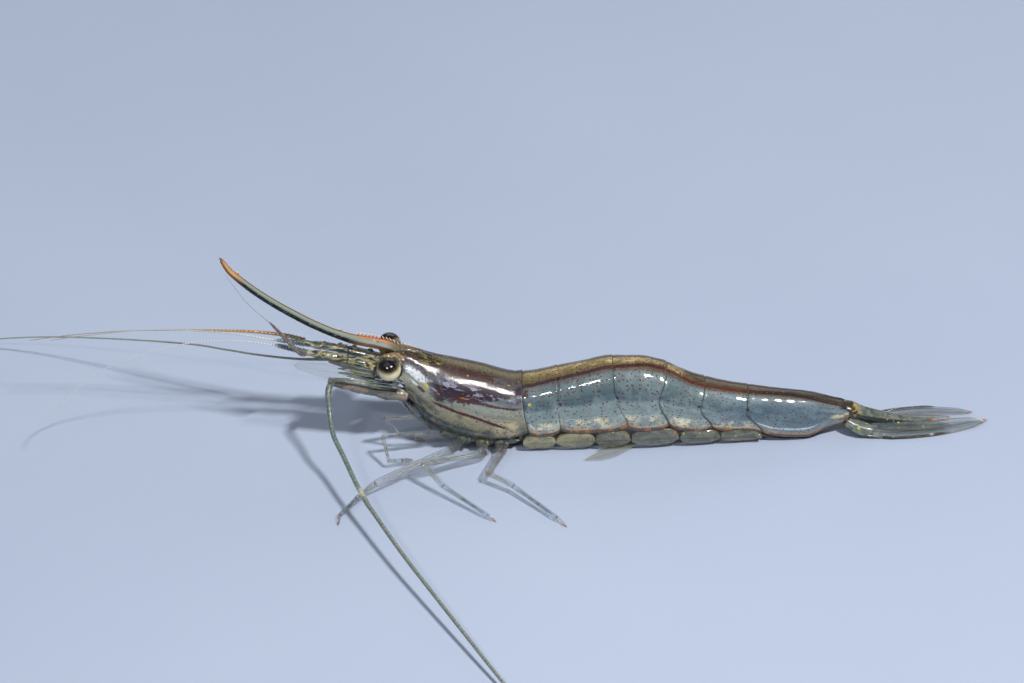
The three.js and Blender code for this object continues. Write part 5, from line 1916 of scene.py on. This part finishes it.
def head():
    ball = eye_finish()
    stalk = mottled_finish("Eyestalk", "706650", "88684E", "AA9660", 0.05, 2.6)
    peduncle = mottled_finish("Antennule base", "566862", FLESH, "C8B458", 0.1, 2.2, 0.9)
    joints = mottled_finish("Antenna joints", "86847E", "B09288", "CE8C48", 0.3, 1.3, 0.55, 0.8)
    folds = mottled_finish("Antenna folds", "626E6C", "82847A", "AAA060", 0.4, 1.6, 0.7, 0.4)
    scale = fin_finish(
        "Antenna scale", 0.04, 0.15, "687A7C", "3C5456", "3C5050", "5A6860", 0.06, coat=0.1)
    jaws = mottled_finish("Jaw-feet", "647476", "A0927A", "C4A654", 0.35, 1.8)
    bristles = []
    for name, side in SIDES:
        eye(name, side, ball)
        eyestalk(name, side, stalk)
        antennule(name, side, peduncle)
        antenna_base(name, side, joints)
        antenna_folds(name, side, folds)
        bristles += antenna_scale(name, side, scale)
        bristles += mouth_part(name, side, jaws)
    feelers()
    planted("head_bristles", bristles, bristle_finish(), "feelers")


def limbs():
    front = limb_finish(
        "Pincer legs", "CEA046", "CE965C", 0.95, 0.16, 0.1, (0.0, "E6E8E2"), (0.55, "F2F4F4"),
        (0.76, "C4C8B4"), (0.82, "6E888C"), (0.92, "A0AAA0"))
    walking = limb_finish(
        "Walking legs", "E28E48", "E07454", 0.94, 0.1, 0.12, (0.0, "CCCCC0"), (0.4, "D8DCD6"),
        (0.5, "CEDCE0"), (0.62, "B0C6D4"), (0.78, "92AECA"), (0.86, "CCBEB0"))
    bristles = []
    for node in LEG_JOINTS:
        bristles += leg(node, walking if len(LEG_JOINTS[node]) == 6 else front)
    hair = bristle_finish()
    planted("leg_bristles", bristles, hair, "legs", width=0.04, curl=0.2, wander=0.2)
    stem = fin_finish("Swimming leg stems", 0.46, 0.95, "C6BC8E", "60685C", "5C543A", "3C3A30", 0.2)
    hind_stem = fin_finish(
        "Hind swimming leg stems", 0.5, 0.95, "8E907E", "2E3C40", "70623E", "3C3A30", 0.34)
    base = mottled_finish("Leg bases", "68706A", "7E7C6E", "9C8A60", 0.55, 1.7, 0.75, 0.8)
    strands = mottled_finish("Leg muscles", "969892", "ACA696", "C4B28A", 0.1, 2.0, 0.6, 0.5)
    leg_strands(strands)
    soft = fin_finish("Swimming legs", 0.16, 0.45, "969C90", "969274", "BAB492", "AAA082", 0.12)
    fringe = []
    for name, side in SIDES:
        belly_lobes(name, side, LOBES[:2], stem)
        belly_lobes(f"hind_{name}", side, LOBES[2:], hind_stem)
        leg_bases(name, side, base)
        for index in range(len(SWIMMING_ROOTS)):
            fringe += swimming_leg(index, name, side, soft)
    planted("swimming_fringe", fringe, hair, "soft_parts", sides=3, wander=0.15)


def tail():
    middle = fin_finish("Telson", 0.9, 1.0, "58625A", "323C3A", "1E1E1C", "785432", 0.3, "B09654")
    base = fin_finish(
        "Fin bases", 0.86, 1.0, "626C66", "46504C", "2E2C24", "6E6042", 0.34, "967042")
    inner = fin_finish("Inner fins", 0.34, 0.9, "68787A", "2C3838", "6E502C", "885428", 0.34)
    outer = fin_finish("Outer fins", 0.2, 0.85, "6E7E84", "465252", "784C28", "B06A30", 0.16)
    margin = mottled_finish("Fin margins", "22201A", "463222", "826E32", 0.0, 3.0, 0.5)
    telson(middle, tooth_finish())
    fringe = []
    for name, side in SIDES:
        fringe += tail_fins(name, side, inner, outer, margin)
        fin_base(name, side, base)
    planted("tail_fringe", fringe, bristle_finish(), "tail_fan", curl=0.1)


# ---- Floor, light and camera ----

FLOOR_REACH = 900.0


def floor():
    paint = Finish("Pale floor", Specular_IOR_Level=0.3)
    cloud = paint.noise(paint.spot, 0.02, 4.0)
    paint.colour = paint.ramp(cloud, (0.3, "A8B4CB"), (0.7, "B0BCD2"))
    paint.plug(paint.shader["Roughness"], paint.levels(cloud, (0.3, 0.45), (0.7, 0.6)))
    paint.plug(paint.shader["Normal"], paint.first("ShaderNodeBump", {
        "Distance": 0.01 * MM, "Height": paint.noise(paint.spot, 1.5, 3.0)}))
    sides = (-FLOOR_REACH, FLOOR_REACH)
    piece = object_from("floor", [(x, y, 0.0) for y in sides for x in sides], [(0, 1, 3, 2)])
    piece.data.materials.append(paint.done())


def soft_light(name, place, size, power, colour):
    """A soft panel of light that faces the animal; sizes in metres, power in watts."""
    data = bpy.data.lights.new(name, "AREA")
    data.shape = "RECTANGLE"
    data.size, data.size_y = size
    data.energy = power
    data.color = colour
    lamp = bpy.data.objects.new(name, data)
    lamp.location = place
    lamp.rotation_euler = (-Vector(place)).to_track_quat("-Z", "Y").to_euler()
    bpy.context.scene.collection.objects.link(lamp)


def lights():
    soft_light("key panel", (0.14, -0.17, 0.30), (0.045, 0.01), 1.4, (1.0, 0.98, 0.95))
    soft_light("front panel", (-0.11, -0.26, 0.27), (0.06, 0.015), 0.24, (1.0, 1.0, 1.0))
    soft_light("back panel", (0.05, 0.4, 0.3), (0.4, 0.3), 0.3, (0.96, 0.98, 1.0))
    soft_light("top panel", (-0.1, -0.12, 0.42), (0.5, 0.4), 0.22, (0.94, 0.97, 1.0))
    soft_light("side panel", (0.4, 0.2, 0.18), (0.3, 0.3), 0.14, (1.0, 0.95, 0.9))
    world = bpy.data.worlds.new("Studio")
    world.use_nodes = True
    world.node_tree.nodes["Background"].inputs["Color"].default_value = (0.62, 0.7, 0.82, 1.0)
    world.node_tree.nodes["Background"].inputs["Strength"].default_value = 0.14
    bpy.context.scene.world = world


CAMERA_ELEVATION = math.radians(34.0)
CAMERA_ROLL = math.radians(0.7)
CAMERA_DISTANCE = 0.3
CAMERA_LENS = 184.6


def camera():
    """Looks level with the animal's left side from above."""
    data = bpy.data.cameras.new("camera")
    data.lens = CAMERA_LENS
    data.sensor_width = 36.0
    data.clip_start = 0.005
    data.clip_end = 10.0
    eye_point = bpy.data.objects.new("camera", data)
    target = Vector((EYE_CENTRE.x + 7.04 * MM, 0.0, EYE_CENTRE.z + 0.95 * MM))
    sin_e, cos_e = math.sin(CAMERA_ELEVATION), math.cos(CAMERA_ELEVATION)
    sin_r, cos_r = math.sin(CAMERA_ROLL), math.cos(CAMERA_ROLL)
    right = Vector((cos_r, -sin_e * sin_r, -cos_e * sin_r))
    up = Vector((sin_r, sin_e * cos_r, cos_e * cos_r))
    back = Vector((0.0, -cos_e, sin_e))
    turn = Matrix((right, up, back)).transposed()
    eye_point.matrix_world = Matrix.Translation(target + back * CAMERA_DISTANCE) @ turn.to_4x4()
    bpy.context.scene.collection.objects.link(eye_point)
    bpy.context.scene.camera = eye_point


bpy.context.scene.view_settings.view_transform = "Standard"
camera()
lights()
floor()
body_shell()
head()
limbs()
tail()
